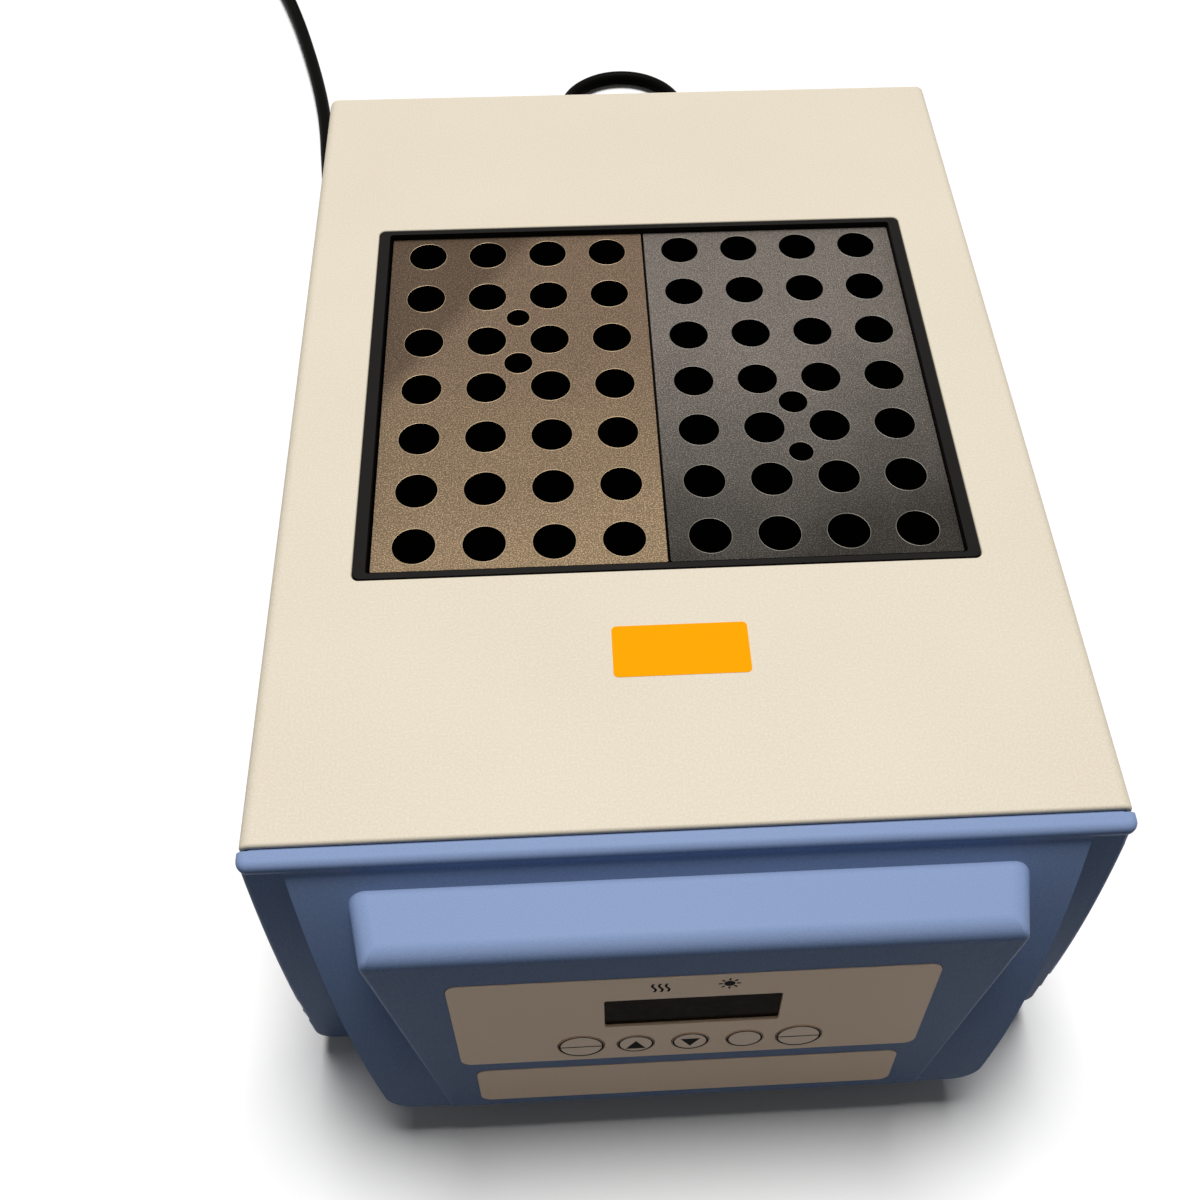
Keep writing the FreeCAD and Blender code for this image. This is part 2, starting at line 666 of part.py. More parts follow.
def band_form():
    half = FASCIA_W / 2
    band = box(-half, half, FASCIA_BACK_Y - BAND_DEPTH, FASCIA_BACK_Y, BAND_TOP_Z - BAND_H, BAND_TOP_Z)
    band = round_edges(band, BAND_END_R, Z_AXIS, lambda c: c.y < FASCIA_BACK_Y - 1)
    front = [e for e in band.Edges if e.BoundBox.ZLength < 1e-6 and e.CenterOfMass.y < FASCIA_BACK_Y - 0.5
             and e.BoundBox.YMin < FASCIA_BACK_Y - BAND_DEPTH / 2]
    return band.makeFillet(BAND_R, front)


def wing_form(t):
    # The flange across the whole front; t insets it for the inside
    back = FASCIA_BACK_Y + (1.0 if t else 0.0)
    top = BAND_TOP_Z - BAND_H / 2 - t
    low = WING_BOTTOM_Z + t
    outline = [(back, top), (FASCIA_BACK_Y - WING_TOP_DEPTH + t, top),
               (FASCIA_BACK_Y - WING_BOTTOM_DEPTH + t, low), (back, low)]
    middle = (FASCIA_BACK_Y - WING_MID_DEPTH + t, (BAND_TOP_Z + WING_BOTTOM_Z) / 2)
    half = FASCIA_W / 2 - t
    form = section_prism(outline, middle, -half, half)
    form = round_edges(form, WING_CORNER_R - t, Y_AXIS, lambda c: c.z < low + 1)
    if t:
        return form
    rim = [e for e in form.Edges if e.BoundBox.YMax < FASCIA_BACK_Y - 1 and e.CenterOfMass.z < top - 1]
    return form.makeFillet(WING_EDGE_R, rim)


def blended_bulge(outline, middle):
    # The arched side outline, its top led into the band's front by a hollow arc
    x = -FASCIA_W
    back_top, top, foot, back_foot = [V(x, y, z) for y, z in outline]
    arch = Part.Arc(top, V(x, *middle), foot).toShape().Curve
    front_y = FASCIA_BACK_Y - BAND_DEPTH
    reach = arch.Radius + BAND_BLEND_R
    side = front_y - BAND_BLEND_R - arch.Center.y
    hollow = V(x, front_y - BAND_BLEND_R, arch.Center.z + math.sqrt(reach ** 2 - side ** 2))
    upper = hollow + Y_AXIS * BAND_BLEND_R
    lower = arch.Center + (hollow - arch.Center) * (arch.Radius / reach)
    turn = hollow + ((upper + lower) * 0.5 - hollow).normalize() * BAND_BLEND_R
    front_top = V(x, front_y, top.z)
    lines = [(back_top, front_top), (front_top, upper), (foot, back_foot), (back_foot, back_top)]
    edges = [Part.LineSegment(a, b).toShape() for a, b in lines]
    edges.insert(2, Part.Arc(upper, turn, lower).toShape())
    edges.insert(3, Part.Arc(lower, V(x, *middle), foot).toShape())
    return Part.Face(Part.Wire(edges)).extrude(V(2 * FASCIA_W, 0, 0))


def body_form(t):
    # Arched lower body: a bulging side outline trimmed to a tapered front outline
    back = FASCIA_BACK_Y + (1.0 if t else 0.0)
    top = BAND_TOP_Z - BAND_H / 2 - t
    low = BODY_FOOT_Z + t
    outline = [(back, top), (FASCIA_BACK_Y - BODY_TOP_DEPTH + t, top),
               (FASCIA_BACK_Y - BODY_FOOT_DEPTH + t, low), (back, low)]
    middle = (FASCIA_BACK_Y - BODY_MID_DEPTH + t, BODY_MID_Z)
    bulge = section_prism(outline, middle, -FASCIA_W, FASCIA_W) if t else blended_bulge(outline, middle)
    y = FASCIA_BACK_Y - BIG / 2
    front = [V(-BODY_TOP_HALF + t, y, top), V(BODY_TOP_HALF - t, y, top),
             V(BODY_FOOT_HALF - t, y, low), V(-BODY_FOOT_HALF + t, y, low)]
    trim = flat_prism(front, V(0, BIG, 0))
    trim = round_edges(trim, BODY_CORNER_R - t, Y_AXIS, lambda c: c.z < low + 1)
    return bulge.common(trim)


def nose_half(y, z):
    # Half the nose's width at a depth and height: it narrows downwards and to the front
    share = (z - BODY_FOOT_Z) / (NOSE_TOP_Z - BODY_FOOT_Z)
    face = NOSE_FOOT_HALF + (NOSE_TOP_HALF - NOSE_FOOT_HALF) * share
    return face + NOSE_FLARE * (y - panel_y(z))


def frustum(lower, upper):
    # Solid between two four-cornered outlines, with flat sides
    faces = [lower, upper]
    for i in range(4):
        j = (i + 1) % 4
        faces.append([lower[i], lower[j], upper[j], upper[i]])
    made = [Part.Face(Part.makePolygon(points + [points[0]])) for points in faces]
    return Part.makeSolid(Part.makeShell(made))


def nose_outline(z, t):
    back = FASCIA_BACK_Y + (1.0 if t else 0.0)
    front = panel_y(z) + t / math.cos(LEAN)
    rear = nose_half(back, z) - t
    face = nose_half(front, z) - t
    return [V(-rear, back, z), V(rear, back, z), V(face, front, z), V(-face, front, z)]


def nose_form(t):
    form = frustum(nose_outline(BODY_FOOT_Z + t, t), nose_outline(NOSE_TOP_Z - t, t))
    if t:
        return form
    rim = [e for e in form.Edges if e.BoundBox.ZMin > NOSE_TOP_Z - 1 and e.CenterOfMass.y < FASCIA_BACK_Y - 1]
    form = form.makeFillet(NOSE_EDGE_R, rim)
    creases = [e for e in form.Edges if e.BoundBox.ZLength > 50 and e.CenterOfMass.y < FASCIA_BACK_Y - 5]
    return form.makeFillet(NOSE_CREASE_R, creases)


def fascia_rim():
    # Tongue that locates the moulding under the cover's front edge
    half = COVER_W / 2 - COVER_T - FIT
    top = COVER_TOP_Z - COVER_T - FIT
    low = PAN_TOP_Z + 2
    outer = box(-half, half, FASCIA_BACK_Y - RIM_ROOT, FASCIA_BACK_Y + RIM_LEN, low, top)
    outer = round_edges(outer, COVER_BEND_R - COVER_T, Y_AXIS, lambda c: c.z > top - 1)
    inner = box(-half + RIM_T, half - RIM_T, FASCIA_BACK_Y - RIM_ROOT - 1, FASCIA_BACK_Y + RIM_LEN + 1,
                low - 1, top - RIM_T)
    return carve(outer, [inner])


def fascia_screw_places():
    outer = PAN_HALF - FASCIA_SCREW_INSET
    return [(x, FLOOR_Z + PAN_WALL_H / 2) for x in (-outer, -FASCIA_SCREW_STEP, FASCIA_SCREW_STEP, outer)]


def fascia_bosses():
    # Screw bosses from the front wall back to the pan's front lip
    bosses = []
    for x, z in fascia_screw_places():
        depth = WING_BOTTOM_DEPTH - WING_EDGE_R + FIT
        bosses.append(rod(BOSS_R, V(x, PAN_FRONT_Y - depth, z), Y_AXIS, depth))
    return bosses


def control_boss_places():
    return corners(0, CONTROL_V, CONTROL_W / 2 - BOSS_INSET, CONTROL_H / 2 - BOSS_INSET)


def control_bosses():
    return [on_panel(upright(BOSS_R, x, v, CONTROL_W0, -FASCIA_WALL / 2)) for x, v in control_boss_places()]


def front_fascia():
    skin = join(wing_form(0), [body_form(0), nose_form(0), band_form()])
    inside = wing_form(FASCIA_WALL).fuse([body_form(FASCIA_WALL), nose_form(FASCIA_WALL)])
    ahead = box(-BIG, BIG, FASCIA_BACK_Y - BIG, FASCIA_BACK_Y, -BIG, BIG)
    rim = fascia_rim().cut(ahead.cut(skin))
    shell = join(skin.cut(inside), [rim] + fascia_bosses() + control_bosses())
    cuts = []
    for x, z in fascia_screw_places():
        cuts.append(rod(M3_R + SCREW_FIT, V(x, PAN_FRONT_Y - 9, z), Y_AXIS, 10))
    for x, v in control_boss_places():
        cuts.append(on_panel(upright(PIN_HOLE_R, x, v, CONTROL_W0 - 1, -FASCIA_WALL)))
    return carve(shell, cuts + panel_cuts())


def panel_cuts():
    # Pockets for the face sheet and the lower label, the window, its lens seat and the key holes
    overlay = rounded_box(0, OVERLAY_V, OVERLAY_W + FIT, OVERLAY_H + FIT, -OVERLAY_POCKET, 5, OVERLAY_R)
    notice = rounded_box(0, NOTICE_V, NOTICE_W + FIT, NOTICE_H + FIT, -NOTICE_POCKET, 5, OVERLAY_R)
    window = rounded_box(0, WINDOW_V, WINDOW_W, WINDOW_H, -FASCIA_WALL - 1, 1, WINDOW_R)
    seat = rounded_box(0, WINDOW_V, lens_width() + FIT, lens_height() + FIT, -OVERLAY_POCKET - LENS_T, 1, WINDOW_R)
    cuts = [overlay, notice, window, seat]
    for radius, u in zip(KEY_RADII, key_us()):
        cuts.append(upright(radius + FIT, u, KEY_V, -FASCIA_WALL - 1, 1))
    return [on_panel(c) for c in cuts]


def key_us():
    return [(i - (len(KEY_NAMES) - 1) / 2) * KEY_STEP for i in range(len(KEY_NAMES))]


def lens_width():
    return WINDOW_W + 2 * LENS_LAP


def lens_height():
    return WINDOW_H + 2 * LENS_LAP


def membrane_overlay():
    z1 = OVERLAY_T - OVERLAY_POCKET
    sheet = rounded_box(0, OVERLAY_V, OVERLAY_W, OVERLAY_H, -OVERLAY_POCKET, z1, OVERLAY_R)
    cuts = [rounded_box(0, WINDOW_V, WINDOW_W, WINDOW_H, -1, 1, WINDOW_R)]
    for radius, u in zip(KEY_RADII, key_us()):
        cuts.append(upright(radius + FIT, u, KEY_V, -1, 1))
    return on_panel(carve(sheet, cuts))


def display_window():
    return on_panel(rounded_box(0, WINDOW_V, lens_width(), lens_height(),
                                -OVERLAY_POCKET - LENS_T, -OVERLAY_POCKET, WINDOW_R))


def display_module():
    return on_panel(rounded_box(0, WINDOW_V, WINDOW_W + 5, WINDOW_H + 4, CONTROL_W0,
                                CONTROL_W0 + DISPLAY_T, 0.5))


def key(index):
    # Button through the face sheet, kept in by a flange behind the moulding
    radius = KEY_RADII[index]
    u = key_us()[index]
    back = -FASCIA_WALL - FIT - KEY_FLANGE_T
    stem = upright(radius, u, KEY_V, back, OVERLAY_T - OVERLAY_POCKET + KEY_PROUD)
    flange = upright(radius + KEY_FLANGE, u, KEY_V, back, back + KEY_FLANGE_T)
    return on_panel(join(stem, [flange]))


def tact_switches():
    top = -FASCIA_WALL - FIT - KEY_FLANGE_T - KEY_TRAVEL - SWITCH_GAP
    made = []
    for u in key_us():
        case = rounded_box(u, KEY_V, SWITCH_SIDE, SWITCH_SIDE, CONTROL_W0, top - 1.0, 0.4)
        made.append(on_panel(join(case, [upright(1.75, u, KEY_V, top - 1.5, top)])))
    return Part.makeCompound(made)


def lower_label():
    return on_panel(rounded_box(0, NOTICE_V, NOTICE_W, NOTICE_H, -NOTICE_POCKET,
                                NOTICE_T - NOTICE_POCKET, OVERLAY_R))


def control_board():
    board = rounded_box(0, CONTROL_V, CONTROL_W, CONTROL_H, CONTROL_W0 - PCB_T, CONTROL_W0, 1.5)
    holes = [upright(PIN_HOLE_R, x, v, CONTROL_W0 - 5, CONTROL_W0 + 1) for x, v in control_boss_places()]
    return on_panel(carve(board, holes))


def board_screws():
    return Part.makeCompound([on_panel(screw(V(x, v, CONTROL_W0 - PCB_T), Z_AXIS, PIN_HOLE_R - SCREW_FIT,
                                             2.4, 1.6, 5.0)) for x, v in control_boss_places()])


def fascia_screws():
    y = PAN_FRONT_Y + PAN_T
    return Part.makeCompound([screw(V(x, y, z), Y_AXIS * -1, M3_R, M3_HEAD_R, M3_HEAD_H, FASCIA_SCREW_LEN)
                              for x, z in fascia_screw_places()])


def standoff_places():
    return corners(POWER_X, POWER_Y, POWER_W / 2 - STANDOFF_INSET, POWER_D / 2 - STANDOFF_INSET)


def board_standoffs():
    made = []
    for x, y in standoff_places():
        post = upright(STANDOFF_R, x, y, FLOOR_TOP_Z, POWER_Z)
        made.append(carve(post, [upright(M3_R + SCREW_FIT, x, y, FLOOR_TOP_Z - 1, POWER_Z + 1)]))
    return Part.makeCompound(made)


def power_board():
    board = rounded_box(POWER_X, POWER_Y, POWER_W, POWER_D, POWER_Z, POWER_Z + PCB_T, 1.5)
    return carve(board, [upright(M3_R + SCREW_FIT, x, y, POWER_Z - 1, POWER_Z + 2 * PCB_T)
                         for x, y in standoff_places()])


def power_screws():
    top = [screw(V(x, y, POWER_Z + PCB_T), Z_AXIS * -1, M3_R, M3_HEAD_R, M3_HEAD_H, PCB_T + 3)
           for x, y in standoff_places()]
    low = [screw(V(x, y, FLOOR_Z), Z_AXIS, M3_R, M3_HEAD_R, M3_HEAD_H, PAN_T + 3)
           for x, y in standoff_places()]
    return Part.makeCompound(top + low)


def transformer():
    # Laminated core with its bobbin showing at both sides
    z0 = POWER_Z + PCB_T
    x = POWER_X - POWER_W / 2 + TRANSFORMER_W / 2 + 7
    core = rounded_box(x, POWER_Y, TRANSFORMER_W * 0.8, TRANSFORMER_D * 0.5, z0, z0 + TRANSFORMER_H, 1.0)
    bobbin = rounded_box(x, POWER_Y, TRANSFORMER_W * 0.55, TRANSFORMER_D * 0.8, z0 + 3, z0 + TRANSFORMER_H - 5, 2.0)
    return join(core, [bobbin])


def triac_heatsink():
    # Finned extrusion that stands on the board
    z0 = POWER_Z + PCB_T
    x = POWER_X + POWER_W / 2 - HEATSINK_W / 2 - 7
    web = box(x - 1, x + 1, POWER_Y - HEATSINK_D / 2, POWER_Y + HEATSINK_D / 2, z0, z0 + HEATSINK_H)
    fins = []
    for i in range(5):
        y = POWER_Y + (i - 2) * HEATSINK_D / 5
        fins.append(box(x - HEATSINK_W / 2, x + HEATSINK_W / 2, y - 0.6, y + 0.6, z0, z0 + HEATSINK_H))
    return join(web, fins)


def bent_strip(points, thickness, x0, x1):
    # Flat strip along a side route in (y, z), of even thickness, its corners mitred
    left = []
    right = []
    for i, (y, z) in enumerate(points):
        before = points[max(i - 1, 0)]
        after = points[min(i + 1, len(points) - 1)]
        a = math.atan2(z - before[1], y - before[0]) if i else None
        b = math.atan2(after[1] - z, after[0] - y) if i < len(points) - 1 else a
        a = b if a is None else a
        half_turn = (b - a) / 2
        reach = thickness / 2 / math.cos(half_turn)
        angle = a + half_turn + math.pi / 2
        left.append(V(x0, y + reach * math.cos(angle), z + reach * math.sin(angle)))
        right.append(V(x0, y - reach * math.cos(angle), z - reach * math.sin(angle)))
    return flat_prism(left + right[::-1], V(x1 - x0, 0, 0))


def ribbon_x():
    # Just inside the heater's left posts
    return POST_R + POST_SHOULDER + RIBBON_GAP + RIBBON_W / 2 - POST_X


def ribbon_header_z():
    return POWER_Z + PCB_T + HEADER_H / 2


def control_back(v, depth):
    # A point on the line behind the control board, at a height up the face
    return (NOSE_FOOT_Y + v * math.sin(LEAN) + depth * math.cos(LEAN),
            BODY_FOOT_Z + v * math.cos(LEAN) - depth * math.sin(LEAN))


def ribbon_cable():
    # Flat lead with a header at each board
    x = ribbon_x()
    z = ribbon_header_z()
    rear_y = POWER_Y - POWER_D / 2
    half = HEADER_W / 2
    rear = box(x - half, x + half, rear_y, rear_y + HEADER_T, POWER_Z + PCB_T, POWER_Z + PCB_T + HEADER_H)
    depth = CONTROL_STANDOFF + PCB_T
    front = on_panel(box(x - half, x + half, HEADER_V - HEADER_T / 2, HEADER_V + HEADER_T / 2,
                         -depth - HEADER_H, -depth))
    near = control_back(HEADER_V, depth + HEADER_H)
    out = control_back(HEADER_V, depth + HEADER_H + HEADER_W / 2)
    route = [(rear_y, z), (rear_y - 14, z), (PAN_FRONT_Y + 26, z), (out[0] + 6, z + 24), out, near]
    strip = bent_strip(route, RIBBON_T, x - RIBBON_W / 2, x + RIBBON_W / 2)
    return join(strip, [rear, front])


def inlet_screw_x():
    return INLET_FLANGE_W / 2 - 4


def inlet_window():
    return box(INLET_X - INLET_BODY_W / 2 - FIT, INLET_X + INLET_BODY_W / 2 + FIT, REAR_Y - 2 * REAR_T,
               REAR_Y + 1, INLET_Z - INLET_BODY_H / 2 - FIT, INLET_Z + INLET_BODY_H / 2 + FIT)


def socket_prism(width, height, y0, y1):
    # The socket's outline: a rectangle with its two lower corners cut off
    w = width / 2
    h = height / 2
    c = SOCKET_CHAMFER
    points = [(-w, h), (w, h), (w, -h + c), (w - c, -h), (-w + c, -h), (-w, -h + c)]
    return flat_prism([V(INLET_X + u, y0, SOCKET_Z + v) for u, v in points], V(0, y1 - y0, 0))


def mains_inlet():
    front = REAR_Y + INLET_FLANGE_T
    flange = box(INLET_X - INLET_FLANGE_W / 2, INLET_X + INLET_FLANGE_W / 2, REAR_Y, front,
                 INLET_Z - INLET_FLANGE_H / 2, INLET_Z + INLET_FLANGE_H / 2)
    flange = round_edges(flange, 3.0, Y_AXIS)
    body = box(INLET_X - INLET_BODY_W / 2, INLET_X + INLET_BODY_W / 2, REAR_Y - INLET_BODY_D, REAR_Y,
               INLET_Z - INLET_BODY_H / 2, INLET_Z + INLET_BODY_H / 2)
    socket = socket_prism(SOCKET_W, SOCKET_H, front - SOCKET_DEPTH, front + 1)
    slot = box(INLET_X - FUSE_W / 2 - FIT, INLET_X + FUSE_W / 2 + FIT, front - FUSE_D - 1, front + 1,
               FUSE_Z - FUSE_H / 2 - FIT, FUSE_Z + FUSE_H / 2 + FIT)
    holes = [rod(M3_R + SCREW_FIT, V(INLET_X + s * inlet_screw_x(), REAR_Y - 1, INLET_Z), Y_AXIS, 5)
             for s in (-1, 1)]
    return carve(join(flange, [body]), [socket, slot] + holes)


def pin_places():
    return [(INLET_X, SOCKET_Z + PIN_RISE), (INLET_X - PIN_SPREAD, SOCKET_Z - PIN_RISE),
            (INLET_X + PIN_SPREAD, SOCKET_Z - PIN_RISE)]


def inlet_pins():
    # Three contact pins in the socket and their tabs behind the body
    floor = REAR_Y + INLET_FLANGE_T - SOCKET_DEPTH
    back = REAR_Y - INLET_BODY_D
    made = []
    for x, z in pin_places():
        made.append(box(x - PIN_W / 2, x + PIN_W / 2, floor, floor + PIN_LEN, z - PIN_H / 2, z + PIN_H / 2))
        made.append(box(x - 0.4, x + 0.4, back - 8, back, z - 2.4, z + 2.4))
    return Part.makeCompound(made)


def inlet_screws():
    y = REAR_Y + INLET_FLANGE_T
    return Part.makeCompound([screw(V(INLET_X + s * inlet_screw_x(), y, INLET_Z), Y_AXIS * -1, M3_R,
                                    2.5, 1.4, 8.0) for s in (-1, 1)])


def fuse_drawer():
    front = REAR_Y + INLET_FLANGE_T
    body = box(INLET_X - FUSE_W / 2, INLET_X + FUSE_W / 2, front - FUSE_D, front + SEAT,
               FUSE_Z - FUSE_H / 2, FUSE_Z + FUSE_H / 2)
    wells = [rod(2.65, V(INLET_X + s * 4.6, front - FUSE_D - 1, FUSE_Z), Y_AXIS, FUSE_D - 1) for s in (-1, 1)]
    lip = box(INLET_X - FUSE_W / 2 - 1, INLET_X + FUSE_W / 2 + 1, front + SEAT, front + SEAT + FUSE_LIP,
              FUSE_Z - FUSE_H / 2 - 1, FUSE_Z + FUSE_H / 2 + 1)
    return join(carve(body, wells), [round_edges(lip, 1.0, Y_AXIS)])


def switch_window():
    half_w = SWITCH_BEZEL_W / 2 - 1
    half_h = SWITCH_BEZEL_H / 2 - 1
    return box(ROCKER_X - half_w, ROCKER_X + half_w, REAR_Y - 2 * REAR_T, REAR_Y + 1,
               ROCKER_Z - half_h, ROCKER_Z + half_h)


def switch_housing():
    bezel = box(ROCKER_X - SWITCH_BEZEL_W / 2, ROCKER_X + SWITCH_BEZEL_W / 2, REAR_Y, REAR_Y + SWITCH_BEZEL_T,
                ROCKER_Z - SWITCH_BEZEL_H / 2, ROCKER_Z + SWITCH_BEZEL_H / 2)
    bezel = round_edges(bezel, 1.0, Y_AXIS)
    half_w = SWITCH_BEZEL_W / 2 - 1 - SEAT
    half_h = SWITCH_BEZEL_H / 2 - 1 - SEAT
    body = box(ROCKER_X - half_w, ROCKER_X + half_w, REAR_Y - SWITCH_BODY_D, REAR_Y,
               ROCKER_Z - half_h, ROCKER_Z + half_h)
    well = box(ROCKER_X - ROCKER_W / 2 - FIT, ROCKER_X + ROCKER_W / 2 + FIT, PIVOT_Y - 5, REAR_Y + 5,
               ROCKER_Z - ROCKER_HALF - 1.4, ROCKER_Z + ROCKER_HALF + 1.4)
    pivot = rod(ROCKER_PIVOT_R + ROCKER_PIVOT_FIT, V(ROCKER_X - ROCKER_W / 2 - 1.0, PIVOT_Y, ROCKER_Z),
                X_AXIS, ROCKER_W + 2.0)
    tabs = [box(ROCKER_X - 3, ROCKER_X + 3, REAR_Y - SWITCH_BODY_D - 7, REAR_Y - SWITCH_BODY_D,
                ROCKER_Z + s * 4 - 0.4, ROCKER_Z + s * 4 + 0.4) for s in (-1, 1)]
    return join(carve(join(bezel, [body]), [well, pivot]), tabs)


def switch_rocker():
    # Rocker with a dished face, drawn level and then laid over to its off stop
    h = ROCKER_HALF
    half = ROCKER_W / 2
    outline = [(-2.6, -4.0), (4.9, -h), (4.9, h), (-2.6, 4.0)]
    x0 = ROCKER_X - half
    p = [V(x0, PIVOT_Y + y, ROCKER_Z + z) for y, z in outline]
    dish = Part.Arc(p[1], V(x0, PIVOT_Y + 3.6, ROCKER_Z), p[2]).toShape()
    wire = Part.Wire([Part.LineSegment(p[0], p[1]).toShape(), dish, Part.LineSegment(p[2], p[3]).toShape(),
                      Part.LineSegment(p[3], p[0]).toShape()])
    body = Part.Face(wire).extrude(V(ROCKER_W, 0, 0))
    pin = rod(ROCKER_PIVOT_R, V(x0 - 0.8, PIVOT_Y, ROCKER_Z), X_AXIS, ROCKER_W + 1.6)
    rocker = join(body, [pin])
    rocker.rotate(V(ROCKER_X, PIVOT_Y, ROCKER_Z), X_AXIS, ROCKER_SWING)
    return rocker


def cord_wire(points):
    # Straight runs joined by tangent arcs, each as large as its two runs allow
    edges = []
    start = points[0]
    radii = []
    for before, corner, after in zip(points, points[1:], points[2:]):
        a = (corner - before).normalize()
        b = (after - corner).normalize()
        turn = a.getAngle(b)
        cut = 0.45 * min((corner - before).Length, (after - corner).Length)
        radii.append(cut / math.tan(turn / 2))
        p = corner - a * cut
        q = corner + b * cut
        bulge = (p + q) * 0.5 - corner
        reach = radii[-1] / math.cos(turn / 2) - radii[-1]
        middle = corner + bulge.normalize() * reach
        edges.append(Part.LineSegment(start, p).toShape())
        edges.append(Part.Arc(p, middle, q).toShape())
        start = q
    edges.append(Part.LineSegment(start, points[-1]).toShape())
    print("cord radii", [round(r, 1) for r in radii])
    return Part.Wire(edges)


def cord_along(points):
    path = cord_wire(points)
    ring = Part.Wire([Part.makeCircle(CORD_R, points[0], points[1] - points[0])])
    tube = path.makePipeShell([ring], True, False)
    print("cord length", round(path.Length, 1), "volume ratio",
          round(tube.Volume / (math.pi * CORD_R ** 2 * path.Length), 4))
    return tube


def cord_tube():
    return cord_along(CORD_ROUTE)


def coil_outer_r():
    return COIL_MEAN_R + COIL_COLUMNS * CORD_R


def coil_top_z():
    return COIL_Z + COIL_LAYERS * 2 * CORD_R


def at_coil(shape):
    # From the coil's own frame, where the lead comes in along +Y at the left, to the bench
    end = CORD_ROUTE[-1]
    heading = (end - CORD_ROUTE[-2]).normalize()
    angle = math.degrees(math.atan2(heading.y, heading.x)) - 90
    placed = shape.copy()
    turn = FreeCAD.Placement(V(end.x, end.y, 0), FreeCAD.Rotation(Z_AXIS, angle))
    shift = FreeCAD.Placement(V(coil_outer_r() - CORD_R, 0, 0), FreeCAD.Rotation())
    placed.Placement = turn.multiply(shift).multiply(placed.Placement)
    return placed


def cord_coil():
    # The outer shape of the wound lead, notched where the lead comes in and leaves
    top = coil_top_z()
    outer = coil_outer_r()
    inner = COIL_MEAN_R - COIL_COLUMNS * CORD_R
    lane = outer - 2 * CORD_R - SEAT
    ring = carve(upright(outer, 0, 0, COIL_Z, top), [upright(inner, 0, 0, COIL_Z - 1, top + 1)])
    way_in = box(-outer - 5, -lane, -outer, 0, COIL_Z - 1, COIL_Z + 2 * CORD_R + SEAT)
    way_out = box(0, outer, lane, outer + 5, top - 2 * CORD_R - SEAT, top + 1)
    return at_coil(carve(ring, [way_in, way_out]))


def tail_points():
    z = coil_top_z() - CORD_R
    y = coil_outer_r() - CORD_R
    return [V(0, y, z), V(32, y, z), V(60, y - 9, z)]


def cord_tail():
    return at_coil(cord_along(tail_points()))


def cord_tie():
    # Strap round the bundle on the side away from both ends
    low = COIL_MEAN_R - COIL_COLUMNS * CORD_R
    high = coil_outer_r()
    outer = box(low - SEAT - TIE_T, high + SEAT + TIE_T, -TIE_W / 2, TIE_W / 2,
                COIL_Z - TIE_T, coil_top_z() + TIE_T)
    inner = box(low - 2 * SEAT, high + SEAT, -TIE_W, TIE_W, COIL_Z, coil_top_z())
    strap = carve(outer, [inner])
    strap.rotate(V(0, 0, 0), Z_AXIS, -50)
    return at_coil(strap)


def cord_connector():
    # Moulded connector in the inlet, with three contact slots and its tapered relief
    front = REAR_Y + INLET_FLANGE_T
    nose = socket_prism(SOCKET_W - 2 * FIT, SOCKET_H - 2 * FIT, front - SOCKET_DEPTH + FIT, front + FIT)
    y1 = front + FIT + CONNECTOR_LEN
    body = box(INLET_X - CONNECTOR_W / 2, INLET_X + CONNECTOR_W / 2, front + FIT, y1,
               SOCKET_Z - CONNECTOR_H / 2, SOCKET_Z + CONNECTOR_H / 2)
    body = round_edges(body, 4.0, Y_AXIS)
    relief = Part.makeCone(RELIEF_R, RELIEF_TIP_R, CORD_ROUTE[0].y - y1, V(INLET_X, y1, SOCKET_Z), Y_AXIS)
    slots = [box(x - PIN_W / 2 - FIT, x + PIN_W / 2 + FIT, front - SOCKET_DEPTH - 1, front + FIT,
                 z - PIN_H / 2 - FIT, z + PIN_H / 2 + FIT) for x, z in pin_places()]
    return carve(join(nose, [body, relief]), slots)


def at_tail_end(shape):
    # From a plug drawn along +X with its cord end at the origin to the end of the tail
    points = tail_points()
    heading = (points[-1] - points[-2]).normalize()
    angle = math.degrees(math.atan2(heading.y, heading.x))
    placed = shape.copy()
    placed.Placement = FreeCAD.Placement(points[-1], FreeCAD.Rotation(Z_AXIS, angle)).multiply(placed.Placement)
    return at_coil(placed)


def cord_plug():
    relief = Part.makeCone(RELIEF_TIP_R, RELIEF_R, PLUG_RELIEF_LEN, V(0, 0, 0), X_AXIS)
    x0 = PLUG_RELIEF_LEN
    body = box(x0, x0 + PLUG_LEN, -PLUG_W / 2, PLUG_W / 2, -PLUG_H / 2, PLUG_H / 2)
    body = round_edges(body, 4.0, X_AXIS)
    return at_tail_end(join(relief, [body]))


def plug_blades():
    x0 = PLUG_RELIEF_LEN + PLUG_LEN
    blades = []
    for s in (-1, 1):
        y = s * BLADE_SPREAD
        blades.append(box(x0, x0 + BLADE_LEN, y - BLADE_T / 2, y + BLADE_T / 2, 0, BLADE_W))
    ground = rod(GROUND_R, V(x0, 0, -GROUND_DROP), X_AXIS, GROUND_LEN)
    return at_tail_end(Part.makeCompound(blades + [ground]))


